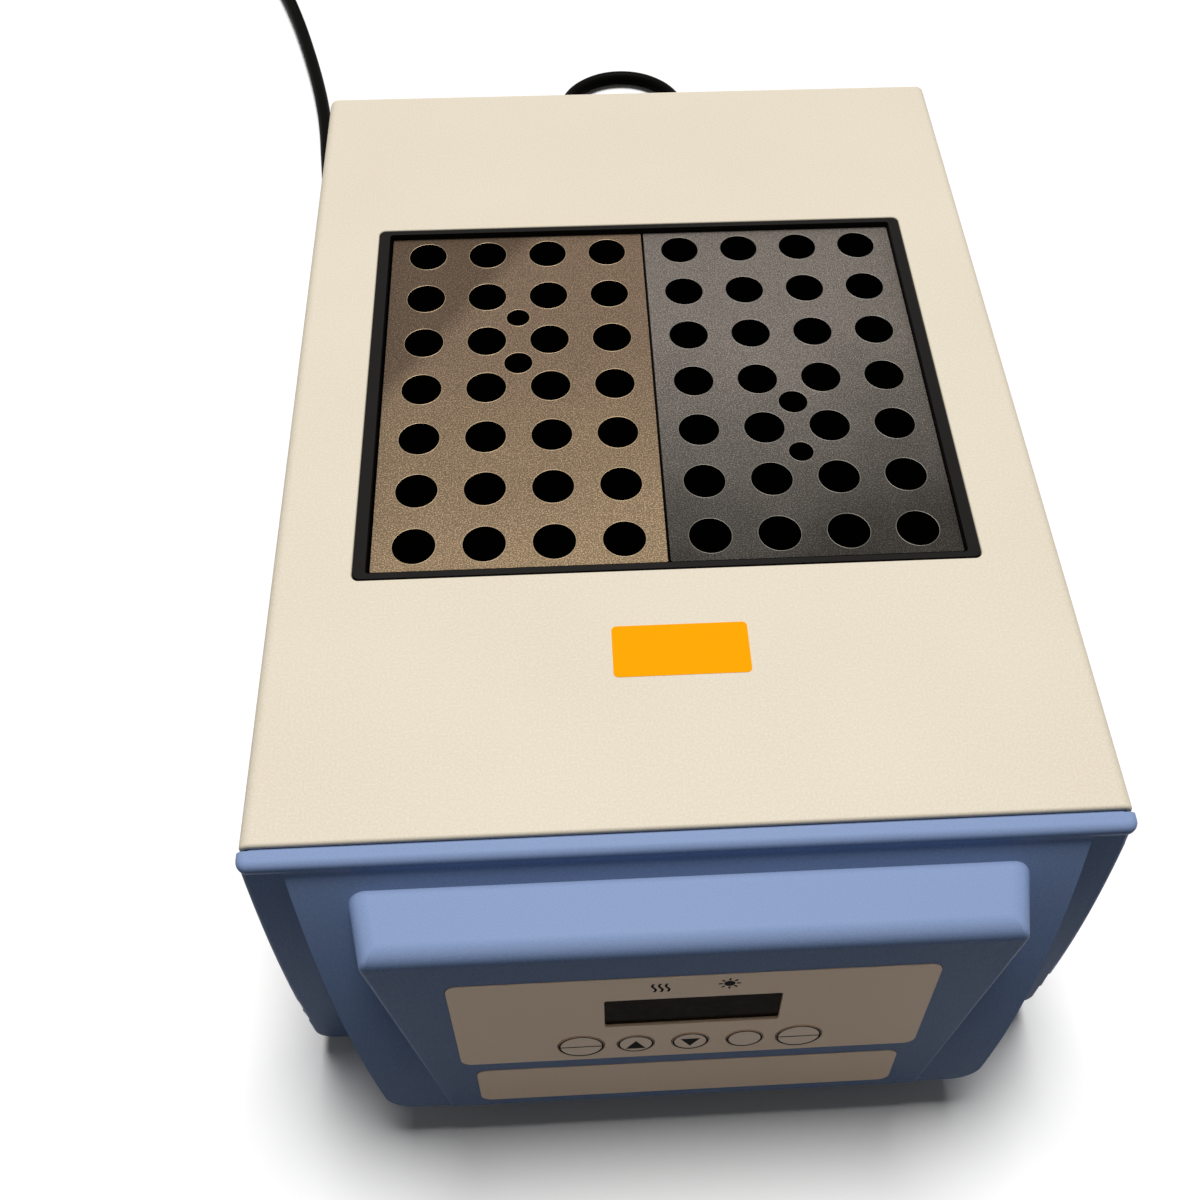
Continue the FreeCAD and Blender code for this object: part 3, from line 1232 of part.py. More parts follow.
def nodes():
    made = {
        "top_cover": top_cover(),
        "cover_screws": cover_screws(),
        "bezel_frame": bezel_frame(),
        "block_left": heating_block(-1),
        "block_right": heating_block(1),
        "well_tray": well_tray(),
        "heater_plate": heater_plate(),
        "heater_mat": heater_mat(),
        "insulation_board": insulation_board(),
        "insulation_jacket": insulation_jacket(),
        "heater_posts": heater_posts(),
        "post_screws": post_screws(),
        "temperature_sensor": temperature_sensor(),
        "thermal_cutout": thermal_cutout(),
        "base_pan": base_pan(),
        "feet": feet(),
        "foot_screws": foot_screws(),
        "rear_panel": rear_panel(),
        "rear_screws": rear_screws(),
        "earth_stud": earth_stud(),
        "front_fascia": front_fascia(),
        "fascia_screws": fascia_screws(),
        "membrane_overlay": membrane_overlay(),
        "display_window": display_window(),
        "display_module": display_module(),
        "lower_label": lower_label(),
        "tact_switches": tact_switches(),
        "control_board": control_board(),
        "board_screws": board_screws(),
        "board_standoffs": board_standoffs(),
        "power_board": power_board(),
        "power_screws": power_screws(),
        "transformer": transformer(),
        "triac_heatsink": triac_heatsink(),
        "ribbon_cable": ribbon_cable(),
        "mains_inlet": mains_inlet(),
        "inlet_pins": inlet_pins(),
        "inlet_screws": inlet_screws(),
        "fuse_drawer": fuse_drawer(),
        "switch_housing": switch_housing(),
        "switch_rocker": switch_rocker(),
        "cord_connector": cord_connector(),
        "cord_tube": cord_tube(),
        "cord_coil": cord_coil(),
        "cord_tie": cord_tie(),
        "cord_tail": cord_tail(),
        "cord_plug": cord_plug(),
        "plug_blades": plug_blades(),
    }
    for index, name in enumerate(KEY_NAMES):
        made[name] = key(index)
    return made


def main():
    os.makedirs("parts", exist_ok=True)
    for name, shape in nodes().items():
        shape.exportStep("parts/" + name + ".step")
        print(name, len(shape.Solids), shape.isValid(), round(shape.Volume, 1))


main()
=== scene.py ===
# %% [markdown]
# # A dry bath incubator on a bench
#
# A dry bath keeps test tubes warm in drilled aluminium blocks. This one has a cream painted steel
# cover, a black frame round two lift-out blocks, and a blue moulded front that carries the control
# panel. The solids come from CAD. This file gives them their finishes, adds the pieces that are too
# thin or too fine for CAD, lays the mains lead and lights the whole.

# %% Load the solids
import math

import bpy
from mathutils import Matrix, Vector


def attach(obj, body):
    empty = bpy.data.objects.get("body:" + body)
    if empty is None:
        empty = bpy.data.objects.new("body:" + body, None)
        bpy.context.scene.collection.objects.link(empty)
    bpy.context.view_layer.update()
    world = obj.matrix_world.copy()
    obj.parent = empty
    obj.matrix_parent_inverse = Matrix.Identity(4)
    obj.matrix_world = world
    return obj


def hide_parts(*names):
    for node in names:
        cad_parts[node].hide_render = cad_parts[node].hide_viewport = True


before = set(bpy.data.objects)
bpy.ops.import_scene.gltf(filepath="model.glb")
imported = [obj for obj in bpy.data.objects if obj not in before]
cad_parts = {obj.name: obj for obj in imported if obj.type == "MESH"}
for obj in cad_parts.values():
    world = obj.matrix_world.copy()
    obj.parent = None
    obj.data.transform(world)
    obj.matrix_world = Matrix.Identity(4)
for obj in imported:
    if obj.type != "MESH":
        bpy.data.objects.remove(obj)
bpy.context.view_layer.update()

# %% [markdown]
# ## Units and colours
#
# Blender works in metres and in linear light. The real object is measured in millimetres, and its
# colours are easier to judge as the sRGB hex values of a paint chart, so two small steps change one
# into the other.

# %% Millimetres and hex colours
MM = 0.001


def linear(hex_value):
    # Undoes the sRGB curve for red, green and blue, and adds full opacity
    levels = [int(hex_value[i:i + 2], 16) / 255 for i in (1, 3, 5)]
    return tuple(c / 12.92 if c <= 0.04045 else ((c + 0.055) / 1.055) ** 2.4
                 for c in levels) + (1.0,)


print("mid grey in linear light:", round(linear("#808080")[0], 3))

# %% [markdown]
# ## The camera
#
# The photograph was taken by hand from in front, a little to the left, looking down at about 56
# degrees. A camera can be fitted by eye, but the well mouths stand on a known pitch, so its place
# and its focal length were solved from them. The main point of the picture lies slightly off its
# middle, which the shift repeats.

# %% Camera
CAMERA_PLACE = Vector((-23.5, -237.7, 390.2)) * MM
CAMERA_RIGHT = Vector((0.99862, -0.05170, 0.00899))
CAMERA_DOWN = Vector((-0.03818, -0.83342, -0.55131))
CAMERA_FORWARD = Vector((0.03599, 0.55021, -0.83425))
FOCAL_PIXELS = 1266.36
PICTURE_PIXELS = 1200
MAIN_POINT_X = 628.1
SENSOR = 36.0

camera_data = bpy.data.cameras.new("bench_camera")
camera_data.sensor_width = SENSOR
camera_data.lens = FOCAL_PIXELS / PICTURE_PIXELS * SENSOR
camera_data.shift_x = (PICTURE_PIXELS / 2 - MAIN_POINT_X) / PICTURE_PIXELS
camera = bpy.data.objects.new("bench_camera", camera_data)
bpy.context.scene.collection.objects.link(camera)
camera.matrix_world = Matrix.Translation(CAMERA_PLACE) @ Matrix(
    (CAMERA_RIGHT, -CAMERA_DOWN, -CAMERA_FORWARD)).transposed().to_4x4()
bpy.context.scene.camera = camera
print("lens in mm:", round(camera_data.lens, 2), "shift:", round(camera_data.shift_x, 4))

# %% [markdown]
# ## Helpers for shader nodes
#
# Every finish below is a small network of nodes. The first function adds one node, sets its values
# and joins its inputs. The others add the few kinds that most networks need, so that a finish reads
# from top to bottom like a recipe. A source is always written as a node with the name or the number
# of its output.

# %% One node


def add(tree, kind, settings=None, links=None):
    node = tree.nodes.new(kind)
    for key, value in (settings or {}).items():
        if isinstance(key, int) or key in node.inputs:
            node.inputs[key].default_value = value
        else:
            setattr(node, key, value)
    for key, source in (links or {}).items():
        tree.links.new(source[0].outputs[source[1]], node.inputs[key])
    return node


def start_material(name):
    # An empty material, and coordinates in metres on the object itself
    material = bpy.data.materials.new(name)
    material.use_nodes = True
    tree = material.node_tree
    tree.nodes.clear()
    coordinates = add(tree, "ShaderNodeTexCoord")
    return material, tree, (coordinates, "Object")


def finish_material(tree, shader):
    add(tree, "ShaderNodeOutputMaterial", {}, {"Surface": (shader, 0)})


def per_mm(size):
    # Texture scale that gives a feature of this size in millimetres
    return 1.0 / (size * MM)


print("texture scale for a 1 mm feature:", per_mm(1.0))

# %% The kinds that come back


def noise(tree, place, size_mm, detail, roughness=0.5):
    settings = {"Scale": per_mm(size_mm), "Detail": detail, "Roughness": roughness}
    return add(tree, "ShaderNodeTexNoise", settings, {"Vector": place}), "Fac"


def stretch(tree, value, low, high, to_low=0.0, to_high=1.0):
    # Lays one range of values over another and cuts off what lies beyond its ends
    settings = {"From Min": low, "From Max": high, "To Min": to_low, "To Max": to_high}
    return add(tree, "ShaderNodeMapRange", settings, {"Value": value}), 0


def blend(tree, share, first, second):
    # A colour between two, each of which is a hex value or a source
    settings, links = {"data_type": "RGBA"}, {0: share}
    for socket, colour in ((6, first), (7, second)):
        if isinstance(colour, str):
            settings[socket] = linear(colour)
        else:
            links[socket] = colour
    return add(tree, "ShaderNodeMix", settings, links), 2


def scaled(tree, colour, factor):
    links = {0: colour, "Scale": factor}
    return add(tree, "ShaderNodeVectorMath", {"operation": "SCALE"}, links), 0


def bump(tree, height, strength, depth_mm):
    settings = {"Strength": strength, "Distance": depth_mm * MM}
    return add(tree, "ShaderNodeBump", settings, {"Height": height}), "Normal"


def surface(tree, colour, relief, settings):
    links = {"Base Color": colour, "Normal": relief}
    finish_material(tree, add(tree, "ShaderNodeBsdfPrincipled", settings, links))


print("node helpers ready")

# %% [markdown]
# ## Cream powder coat
#
# The cover is sheet steel with a baked powder coat. Powder melts into a skin with a faint orange
# peel, over half a millimetre across and a hundredth deep, so reflections go soft but not blurred.
# One flat colour would look like paper, so two noises make the coat: a fine one for the peel, whose
# crests are painted paler as flecks of painted highlight, and a broad one for the unevenness of an
# older coat.

# %% Powder coat
CREAM = "#E1D6C1"
CREAM_AGED = "#D9CDB7"
CREAM_PAINTED_HIGHLIGHT = "#F1E8D8"
HIGHLIGHT_SHARE = 0.45
ORANGE_PEEL_MM = 0.6
PEEL_DEPTH_MM = 0.014
COAT_PATCH_MM = 60.0

powder_coat, tree, place = start_material("cream_powder_coat")
peel = noise(tree, place, ORANGE_PEEL_MM, 2.0)
aged = blend(tree, noise(tree, place, COAT_PATCH_MM, 3.0), CREAM, CREAM_AGED)
# Pale flecks on the peel's crests: a painted highlight
highlighted_coat = blend(tree, stretch(tree, peel, 0.4, 0.75, 0.0, HIGHLIGHT_SHARE), aged, CREAM_PAINTED_HIGHLIGHT)
surface(tree, highlighted_coat, bump(tree, peel, 0.5, PEEL_DEPTH_MM),
        {"Roughness": 0.55, "IOR": 1.5, "Specular IOR Level": 0.2})
print("made", powder_coat.name)

# %% [markdown]
# ## Blue moulded ABS
#
# The front is injection-moulded ABS from a mould with a spark-eroded texture. The pebbles are about
# a third of a millimetre across and only hundredths deep, and they speckle the colour a little. Far
# too many to model, they are a noise that drives both colour and bump. The upward faces are painted
# paler, a painted sheen of the light from above. The room is white all round and glossy plastic
# would mirror it everywhere, so the gloss is kept low.

# %% Textured ABS
ABS_BLUE = "#8199C3"
ABS_BLUE_DEEP = "#657FAB"
ABS_PAINTED_SHEEN = "#98A8CB"
PAINTED_SHEEN_SHARE = 0.5
PEBBLE_MM = 0.32
PEBBLE_DEPTH_MM = 0.06

blue_abs, tree, place = start_material("blue_textured_abs")
pebbles = noise(tree, place, PEBBLE_MM, 1.5, 0.6)
speckled = blend(tree, stretch(tree, pebbles, 0.25, 0.75), ABS_BLUE_DEEP, ABS_BLUE)
facing = add(tree, "ShaderNodeSeparateXYZ", {}, {0: (place[0], "Normal")})
# Faces that look up are painted paler: a painted sheen
painted_sheen = stretch(tree, (facing, "Z"), 0.25, 0.85, 0.0, PAINTED_SHEEN_SHARE)
surface(tree, blend(tree, painted_sheen, speckled, ABS_PAINTED_SHEEN),
        bump(tree, pebbles, 0.7, PEBBLE_DEPTH_MM),
        {"Roughness": 0.36, "IOR": 1.54, "Specular IOR Level": 0.035})
print("made", blue_abs.name)

# %% [markdown]
# ## Bead-blasted aluminium
#
# The blocks are aluminium, blasted with glass beads to an even matt grain. Each bead leaves a dent,
# and the dents are painted as bright points a third of a millimetre wide, a painted glint. The left
# block is painted a warm brownish tone, a painted reflection of warm surroundings, and the right
# one greyer and darker, so one recipe is made twice. Three tones from the front of the block to its
# back, made uneven by a broad noise, are painted reflections, and a darker part beyond a slanting
# edge is a painted shadow.

# %% Blasted blocks
GRAIN_MM = 0.36
GRAIN_DEPTH_MM = 0.06
PAINTED_GLINT = 2.5
REFLECTION_NOISE_MM = 38.0
REFLECTION_NOISE_SHARE = 0.5
BLOCK_FRONT = -42.4
BLOCK_DEPTH = 130.7
FRONT_STOP, MIDDLE_STOP, BACK_STOP = 0.22, 0.6, 1.3 / 1.5


def blasted_aluminium(name, front, middle, back, slant, edge, shade):
    material, tree, place = start_material(name)
    sides = add(tree, "ShaderNodeSeparateXYZ", {}, {0: place})
    along = stretch(tree, (sides, "Y"), BLOCK_FRONT * MM, (BLOCK_FRONT + BLOCK_DEPTH) * MM)
    # Front-to-back tones broken up by noise: painted reflections
    painted_reflection_mask = add(tree, "ShaderNodeMath", {"operation": "MULTIPLY_ADD", 1: REFLECTION_NOISE_SHARE},
                 {0: noise(tree, place, REFLECTION_NOISE_MM, 2.5), 2: along})
    ramp = add(tree, "ShaderNodeValToRGB", {}, {"Fac": (painted_reflection_mask, 0)})
    stops = ramp.color_ramp.elements
    stops[0].position, stops[0].color = FRONT_STOP, linear(front)
    stops[1].position, stops[1].color = BACK_STOP, linear(back)
    stops.new(MIDDLE_STOP).color = linear(middle)
    # Darker beyond a slanting edge: a painted shadow
    across = add(tree, "ShaderNodeVectorMath", {"operation": "DOT_PRODUCT", 1: slant}, {0: place})
    painted_shadow_mask = stretch(tree, (across, "Value"), edge[0] * MM, edge[1] * MM, 1.0, shade)
    grain = noise(tree, place, GRAIN_MM, 1.0, 0.6)
    # Bright points of grain: a painted glint
    painted_glint = stretch(tree, grain, 0.5, 0.64, 1.0, PAINTED_GLINT)
    tone = scaled(tree, scaled(tree, (ramp, "Color"), painted_shadow_mask), painted_glint)
    surface(tree, tone, bump(tree, grain, 0.6, GRAIN_DEPTH_MM),
            {"Metallic": 1.0, "Roughness": 0.66})
    return material


# The tones of both blocks are painted reflections and a painted shadow
left_block_metal = blasted_aluminium("blasted_aluminium_left_painted_reflection", "#605240", "#554839", "#4F4236",
                                     (-0.84, 0.55, 0.0), (74.0, 81.0), 0.62)
right_block_metal = blasted_aluminium("blasted_aluminium_right_painted_reflection", "#262421", "#413D39", "#4D4843",
                                      (1.0, -0.3, 0.0), (42.0, 86.0), 0.76)
print("made", left_block_metal.name, right_block_metal.name)

# %% [markdown]
# ## Plain finishes
#
# The other pieces are rubber, moulded plastic, printed film, sheet metal and glass fibre. They
# differ in colour, in the size and depth of their grain, in roughness and in gloss, so one recipe
# with those values serves them all. A metal takes the same recipe with its metallic value raised.

# %% Recipe for plain finishes


def plain_finish(name, colour, second_colour, grain_mm, depth_mm, roughness,
                 ior=1.5, metallic=0.0, gloss=0.5):
    material, tree, place = start_material(name)
    grain = noise(tree, place, grain_mm, 3.0)
    surface(tree, blend(tree, grain, colour, second_colour), bump(tree, grain, 0.5, depth_mm),
            {"Roughness": roughness, "IOR": ior, "Metallic": metallic, "Specular IOR Level": gloss})
    return material


# %% Plastics, rubber, film and ink
black_frame = plain_finish("satin_black_nylon", "#0E0D0C", "#161412", 0.5, 0.01, 0.5, gloss=0.05)
cord_pvc = plain_finish("black_pvc_jacket", "#060504", "#0C0B09", 1.2, 0.01, 0.4, gloss=0.012)
plug_pvc = plain_finish("black_pvc_moulding", "#0F0E0D", "#171615", 0.8, 0.02, 0.4, gloss=0.3)
foot_rubber = plain_finish("black_rubber", "#141414", "#1D1C1B", 0.8, 0.03, 0.7)
panel_film = plain_finish("polyester_panel_film", "#EECDAB", "#F4D4B4", 0.5, 0.006, 0.5, gloss=0.6)
key_film = plain_finish("embossed_key_film", "#F0D1B1", "#F6D8B9", 0.5, 0.006, 0.45, gloss=0.6)
print_ink = plain_finish("dark_panel_ink", "#080807", "#0D0C0B", 0.6, 0.002, 0.6, gloss=0.02)
orange_film = plain_finish("orange_vinyl", "#FFAA00", "#FAA200", 0.6, 0.004, 0.6, gloss=0.02)
# The brown mottle over the black is a painted reflection
smoked_acrylic = plain_finish("smoked_acrylic", "#040202", "#3C2F22", 3.5, 0.0005, 0.15,
                              ior=1.49, gloss=0.005)
heater_silicone = plain_finish("heater_silicone", "#8C3B1C", "#A04A26", 1.5, 0.05, 0.6)
glass_fibre = plain_finish("glass_fibre_board", "#D8D2C2", "#EAE5D8", 1.4, 0.3, 0.9)
circuit_board = plain_finish("green_solder_mask", "#14522E", "#1B6438", 1.0, 0.01, 0.35)
black_moulding = plain_finish("black_moulded_nylon", "#121212", "#191919", 0.6, 0.02, 0.4)
ribbon_pvc = plain_finish("grey_ribbon_cable", "#9A9C9F", "#A9ABAE", 1.3, 0.05, 0.45)
white_ink = plain_finish("white_pad_print", "#D9D9D6", "#E4E4E0", 0.6, 0.002, 0.5)
print("finishes so far:", len(bpy.data.materials))

# %% Metals
zinc_steel = plain_finish("zinc_plated_steel", "#A7A8A6", "#B8B7B0", 0.7, 0.01, 0.34, metallic=1.0)
stainless = plain_finish("stainless_sheet", "#B4B2AD", "#C2C0BB", 0.4, 0.006, 0.28, metallic=1.0)
milled_aluminium = plain_finish("milled_aluminium", "#AEAEAC", "#BDBCB9", 0.8, 0.01, 0.35,
                                metallic=1.0)
plated_brass = plain_finish("nickel_plated_brass", "#C9B27A", "#D6C18C", 0.6, 0.005, 0.25,
                            metallic=1.0)
black_anodised = plain_finish("black_anodised_aluminium", "#191919", "#232323", 0.4, 0.01, 0.4,
                              metallic=0.6)
transformer_steel = plain_finish("varnished_laminations", "#4A4642", "#5C5751", 0.5, 0.05, 0.5,
                                 metallic=0.7)
print("finishes so far:", len(bpy.data.materials))

# %% [markdown]
# ## Giving each solid its finish
#
# A solid from CAD keeps its shape and gets its material here, by name. The list shows at a glance
# which pieces share a finish, and what is printed below it shows the solids that it leaves out.

# %% Assign finishes
FINISHES = {
    powder_coat: ["top_cover", "base_pan", "rear_panel"],
    blue_abs: ["front_fascia"],
    black_frame: ["bezel_frame"],
    left_block_metal: ["block_left"],
    right_block_metal: ["block_right"],
    panel_film: ["membrane_overlay", "lower_label"],
    key_film: ["key_set", "key_up", "key_down", "key_shift", "key_start"],
    smoked_acrylic: ["display_window"],
    black_moulding: ["display_module", "thermal_cutout", "tact_switches", "mains_inlet",
                     "fuse_drawer", "switch_housing", "switch_rocker"],
    stainless: ["well_tray", "temperature_sensor"],
    milled_aluminium: ["heater_plate"],
    heater_silicone: ["heater_mat"],
    glass_fibre: ["insulation_board", "insulation_jacket"],
    zinc_steel: ["heater_posts", "post_screws", "foot_screws", "rear_screws", "cover_screws",
                 "fascia_screws", "board_screws", "power_screws", "inlet_screws"],
    plated_brass: ["earth_stud", "inlet_pins", "plug_blades", "board_standoffs"],
    circuit_board: ["control_board", "power_board"],
    transformer_steel: ["transformer"],
    black_anodised: ["triac_heatsink"],
    ribbon_pvc: ["ribbon_cable"],
    foot_rubber: ["feet"],
    plug_pvc: ["cord_connector", "cord_plug", "cord_tie"],
}
for material, names in FINISHES.items():
    for name in names:
        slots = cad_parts[name].data.materials
        slots.clear()
        slots.append(material)
finished = {name for names in FINISHES.values() for name in names}
print("solids without a finish:", sorted(set(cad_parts) - finished))

# %% [markdown]
# ## The mains lead
#
# A heavy appliance lead is stiff: it leaves the connector straight, sinks to the bench, lies in one
# loop behind the instrument, passes its back corner and runs away to the left. The rest of its
# 1.8 m is wound into a small coil beyond the picture. A simulated rope would settle anywhere, but
# this lead has to lie as in the photograph, so its centre line is a smooth spline over listed
# points, and its round section is the curve's own bevel.

# %% Sizes of the lead and its coil
CORD_DIAMETER = 6.2
CORD_RADIUS = CORD_DIAMETER / 2
COIL_CLEARANCE = 1.0
COIL_LOW = COIL_CLEARANCE + CORD_RADIUS
COIL_HIGH = COIL_LOW + CORD_DIAMETER
COIL_MIDDLE = 37.0
COIL_OUTER = COIL_MIDDLE + CORD_DIAMETER
COIL_INNER = COIL_MIDDLE - CORD_DIAMETER
COIL_TURNS = 5
POINTS_A_TURN = 16
QUARTER_TURN = POINTS_A_TURN // 4
SPLINE_GROWTH = 1.012
ROUTE = [
    (45, 207, 41), (45, 236, 41), (43, 261, 24), (39, 283, 8), (34.4, 304.5, 3.2),
    (28.8, 321.8, 3.2), (14.1, 332.5, 3.2), (-4.1, 332.5, 3.2), (-18.8, 321.8, 3.2),
    (-24.4, 304.5, 3.2), (-30, 277, 3.2), (-42, 245, 3.2), (-69, 214, 3.2), (-104, 207, 3.2),
    (-131, 231, 3.2), (-135.5, 268, 3.2), (-139.5, 305, 3.2), (-148, 345, 3.2),
    (-163, 398, 4.1), (-182, 446, 4.1),
]
TAIL = [(0, 0), (32, 0), (60, -9)]
print("coil radii in mm:", COIL_INNER, COIL_MIDDLE, COIL_OUTER)

# %% Route of the lead
end = Vector(ROUTE[-1])
heading = (end - Vector(ROUTE[-2])).normalized()
coil_turn = math.atan2(heading.y, heading.x) - math.pi / 2


def from_coil(x, y, z):
    # From the coil's own frame to the bench
    c, s = math.cos(coil_turn), math.sin(coil_turn)
    x += COIL_OUTER
    return (end.x + x * c - y * s, end.y + x * s + y * c, z)


def wound_points():
    # Inwards on the bench, then back outwards on top of it: a little over five turns in two layers.
    # A spline cuts its corners, so its points stand slightly outside the turns.
    rounds = [(COIL_OUTER, COIL_LOW), (COIL_MIDDLE, COIL_LOW), (COIL_INNER, COIL_LOW),
              (COIL_INNER, COIL_HIGH), (COIL_MIDDLE, COIL_HIGH), (COIL_OUTER, COIL_HIGH)]
    points = []
    for step in range(1, COIL_TURNS * POINTS_A_TURN + QUARTER_TURN):
        turn, along = divmod(step, POINTS_A_TURN)
        share = min(1.0, along / QUARTER_TURN)
        radius, height = [last + (this - last) * share
                          for last, this in zip(rounds[max(turn - 1, 0)], rounds[turn])]
        angle = math.pi - 2 * math.pi * step / POINTS_A_TURN
        reach = radius * SPLINE_GROWTH
        points.append(from_coil(reach * math.cos(angle), reach * math.sin(angle), height))
    return points


tail = [from_coil(x, COIL_OUTER + y, COIL_HIGH) for x, y in TAIL]
lead_points = ROUTE + wound_points() + tail
print("points on the lead:", len(lead_points))

# %% Lay the lead
lead_curve = bpy.data.curves.new("mains_lead", "CURVE")
lead_curve.dimensions = "3D"
lead_curve.bevel_depth = CORD_RADIUS * MM
lead_curve.bevel_resolution = 6
lead_curve.resolution_u = 8
lead_curve.use_fill_caps = True
spline = lead_curve.splines.new("NURBS")
spline.points.add(len(lead_points) - 1)
for point, position in zip(spline.points, lead_points):
    point.co = (*(Vector(position) * MM), 1.0)
spline.order_u = 3
spline.use_endpoint_u = True
lead = bpy.data.objects.new("mains_lead", lead_curve)
bpy.context.scene.collection.objects.link(lead)
lead_curve.materials.append(cord_pvc)
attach(lead, "instrument")
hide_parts("cord_tube", "cord_coil", "cord_tail")
print("laid", lead.name)

# %% [markdown]
# ## Small pieces from points and faces
#
# The pieces that follow are thin or fine: prints, plates, rims and ribs. Each is a list of points
# in millimetres and of faces between them, which one function turns into an object that rides on
# the body it is fixed to. That is shorter than a modifier for each, and its sizes are exact.

# %% Piece from points and faces


def made_piece(name, points, faces, material, body, smooth=False):
    mesh = bpy.data.meshes.new(name)
    mesh.from_pydata([Vector(p) * MM for p in points], [], faces)
    mesh.materials.append(material)
    for face in mesh.polygons:
        face.use_smooth = smooth
    mesh.update()
    piece = bpy.data.objects.new(name, mesh)
    bpy.context.scene.collection.objects.link(piece)
    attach(piece, body)


def gathered(parts):
    # Several lists of points and faces as one
    points, faces = [], []
    for more_points, more_faces in parts:
        first = len(points)
        points += more_points
        faces += [tuple(first + i for i in face) for face in more_faces]
    return points, faces


def turned(profile, centre, steps, points, faces):
    # Adds a surface turned about an upright axis; the profile is a list of (radius, height)
    first = len(points)
    for radius, height in profile:
        for step in range(steps):
            angle = 2 * math.pi * step / steps
            points.append((centre[0] + radius * math.cos(angle),
                           centre[1] + radius * math.sin(angle), height))
    for ring in range(len(profile) - 1):
        for step in range(steps):
            a = first + ring * steps + step
            b = first + ring * steps + (step + 1) % steps
            faces.append((a, b, b + steps, a + steps))
    return first + (len(profile) - 1) * steps


print("helpers ready")

# %% [markdown]
# ## Rims and walls of the wells
#
# Each well was drilled, then its mouth was broken with a countersink. The wall and the countersink
# are lined in black, a painted shade for the dark bore, so a well looks like a black disc from
# above, and the countersink's outer edge is a fine lighter ring, a painted highlight. The wall and
# the ring are two thin skins that lie on the solid's own hole, and they lift out with the block.

# %% Places of the wells
BLOCK_TOP = 112.0
BLOCK_Y = 22.95
BLOCKS = {"left": (-40.0, 1), "right": (40.6, -1)}
WELL_PITCH = 19.05
WELL = (5.55, 38.0)
THERMOMETER_HOLE = (3.9, 32.0)
LIFTING_HOLE = (3.2, 14.0)


def holes_of(middle_x, turn):
    # Centre, radius and depth of each hole; the right block is the left one turned half round
    holes = [((middle_x + (i - 1.5) * WELL_PITCH, BLOCK_Y + (j - 3) * WELL_PITCH), *WELL)
             for i in range(4) for j in range(7)]
    holes.append(((middle_x, BLOCK_Y + turn * WELL_PITCH / 2), *THERMOMETER_HOLE))
    holes.append(((middle_x, BLOCK_Y + turn * WELL_PITCH * 1.5), *LIFTING_HOLE))
    return holes


print("holes in a block:", len(holes_of(*BLOCKS["left"])))

# %% Line the wells
SKIN = 0.04
MOUTH_WIDTH = 0.36
RIM_WIDTH = 0.14
WELL_SIDES = 40

# Black skin for well walls and screw recesses: painted shade
painted_shade_black = plain_finish("painted_shade_black_skin", "#010101", "#030302", 2.0, 0.01, 0.9, gloss=0.0)
# Lighter ring at each countersink edge: a painted highlight
rim_finish = {
    "left": plain_finish("countersink_painted_highlight", "#958469", "#7E6E58", 0.5, 0.004, 0.45, metallic=1.0),
    "right": plain_finish("dull_countersink_painted_highlight", "#6E6A63", "#5C5852", 0.5, 0.004, 0.45,
                          metallic=1.0),
}
face = BLOCK_TOP + SKIN / 2
for side, (middle_x, turn) in BLOCKS.items():
    walls, wall_faces, rims, rim_faces = [], [], [], []
    for centre, radius, depth in holes_of(middle_x, turn):
        inner, mouth = radius - SKIN, radius + MOUTH_WIDTH
        profile = [(mouth, face), (inner, face), (inner, BLOCK_TOP - depth + SKIN)]
        floor_ring = turned(profile, centre, WELL_SIDES, walls, wall_faces)
        wall_faces.append(tuple(range(floor_ring, floor_ring + WELL_SIDES)))
        profile = [(mouth + RIM_WIDTH, face), (mouth + RIM_WIDTH / 2, BLOCK_TOP + SKIN),
                   (mouth, face)]
        turned(profile, centre, WELL_SIDES, rims, rim_faces)
    body = "block_" + side + "_body"
    made_piece("well_walls_" + side, walls, wall_faces, painted_shade_black, body, True)
    made_piece("well_rims_" + side, rims, rim_faces, rim_finish[side], body)
    print("lined the", side, "block:", len(wall_faces), "wall faces")

# %% [markdown]
# ## The plate on the cover
#
# A small orange vinyl plate with round corners is stuck to the cover in front of the frame. It is
# left bare. Its outline is walked round once and given a thickness of a tenth of a millimetre,
# because a coloured patch in the cover's material would have no edge of its own.

# %% Orange plate
COVER_TOP = 114.0
PLATE_X = (-16.4, 18.7)
PLATE_Y = (-78.7, -63.6)
PLATE_CORNER = 1.3
PLATE_LIFT, PLATE_THICK = 0.01, 0.1


def rounded_outline(x0, x1, y0, y1, radius, steps=6):
    outline = []
    for cx, cy, start in ((x1 - radius, y1 - radius, 0), (x0 + radius, y1 - radius, 90),
                          (x0 + radius, y0 + radius, 180), (x1 - radius, y0 + radius, 270)):
        for step in range(steps + 1):
            angle = math.radians(start + 90 * step / steps)
            outline.append((cx + radius * math.cos(angle), cy + radius * math.sin(angle)))
    return outline


def slab(outline, low, high):
    # Points and faces of a flat plate between two heights
    count = len(outline)
    points = [(x, y, low) for x, y in outline] + [(x, y, high) for x, y in outline]
    faces = [tuple(range(count))[::-1], tuple(range(count, 2 * count))]
    faces += [(i, (i + 1) % count, count + (i + 1) % count, count + i) for i in range(count)]
    return points, faces


points, faces = slab(rounded_outline(*PLATE_X, *PLATE_Y, PLATE_CORNER),
                     COVER_TOP + PLATE_LIFT, COVER_TOP + PLATE_THICK)
made_piece("cover_plate", points, faces, orange_film, "instrument")
print("points round the plate:", len(points) // 2)

# %% [markdown]
# ## Print on the panel
#
# The panel is a printed polyester film. Its ink is a few hundredths thick. Every key has a dark
# ring, two of them a line across, and two a triangle. Over the window stand a sign for heat and one
# for the alarm lamp. A picture as a texture would blur close up, so the prints are flat strips that
# lie on the leaning face: u runs to the right, v up the face from its foot, and w stands off it.

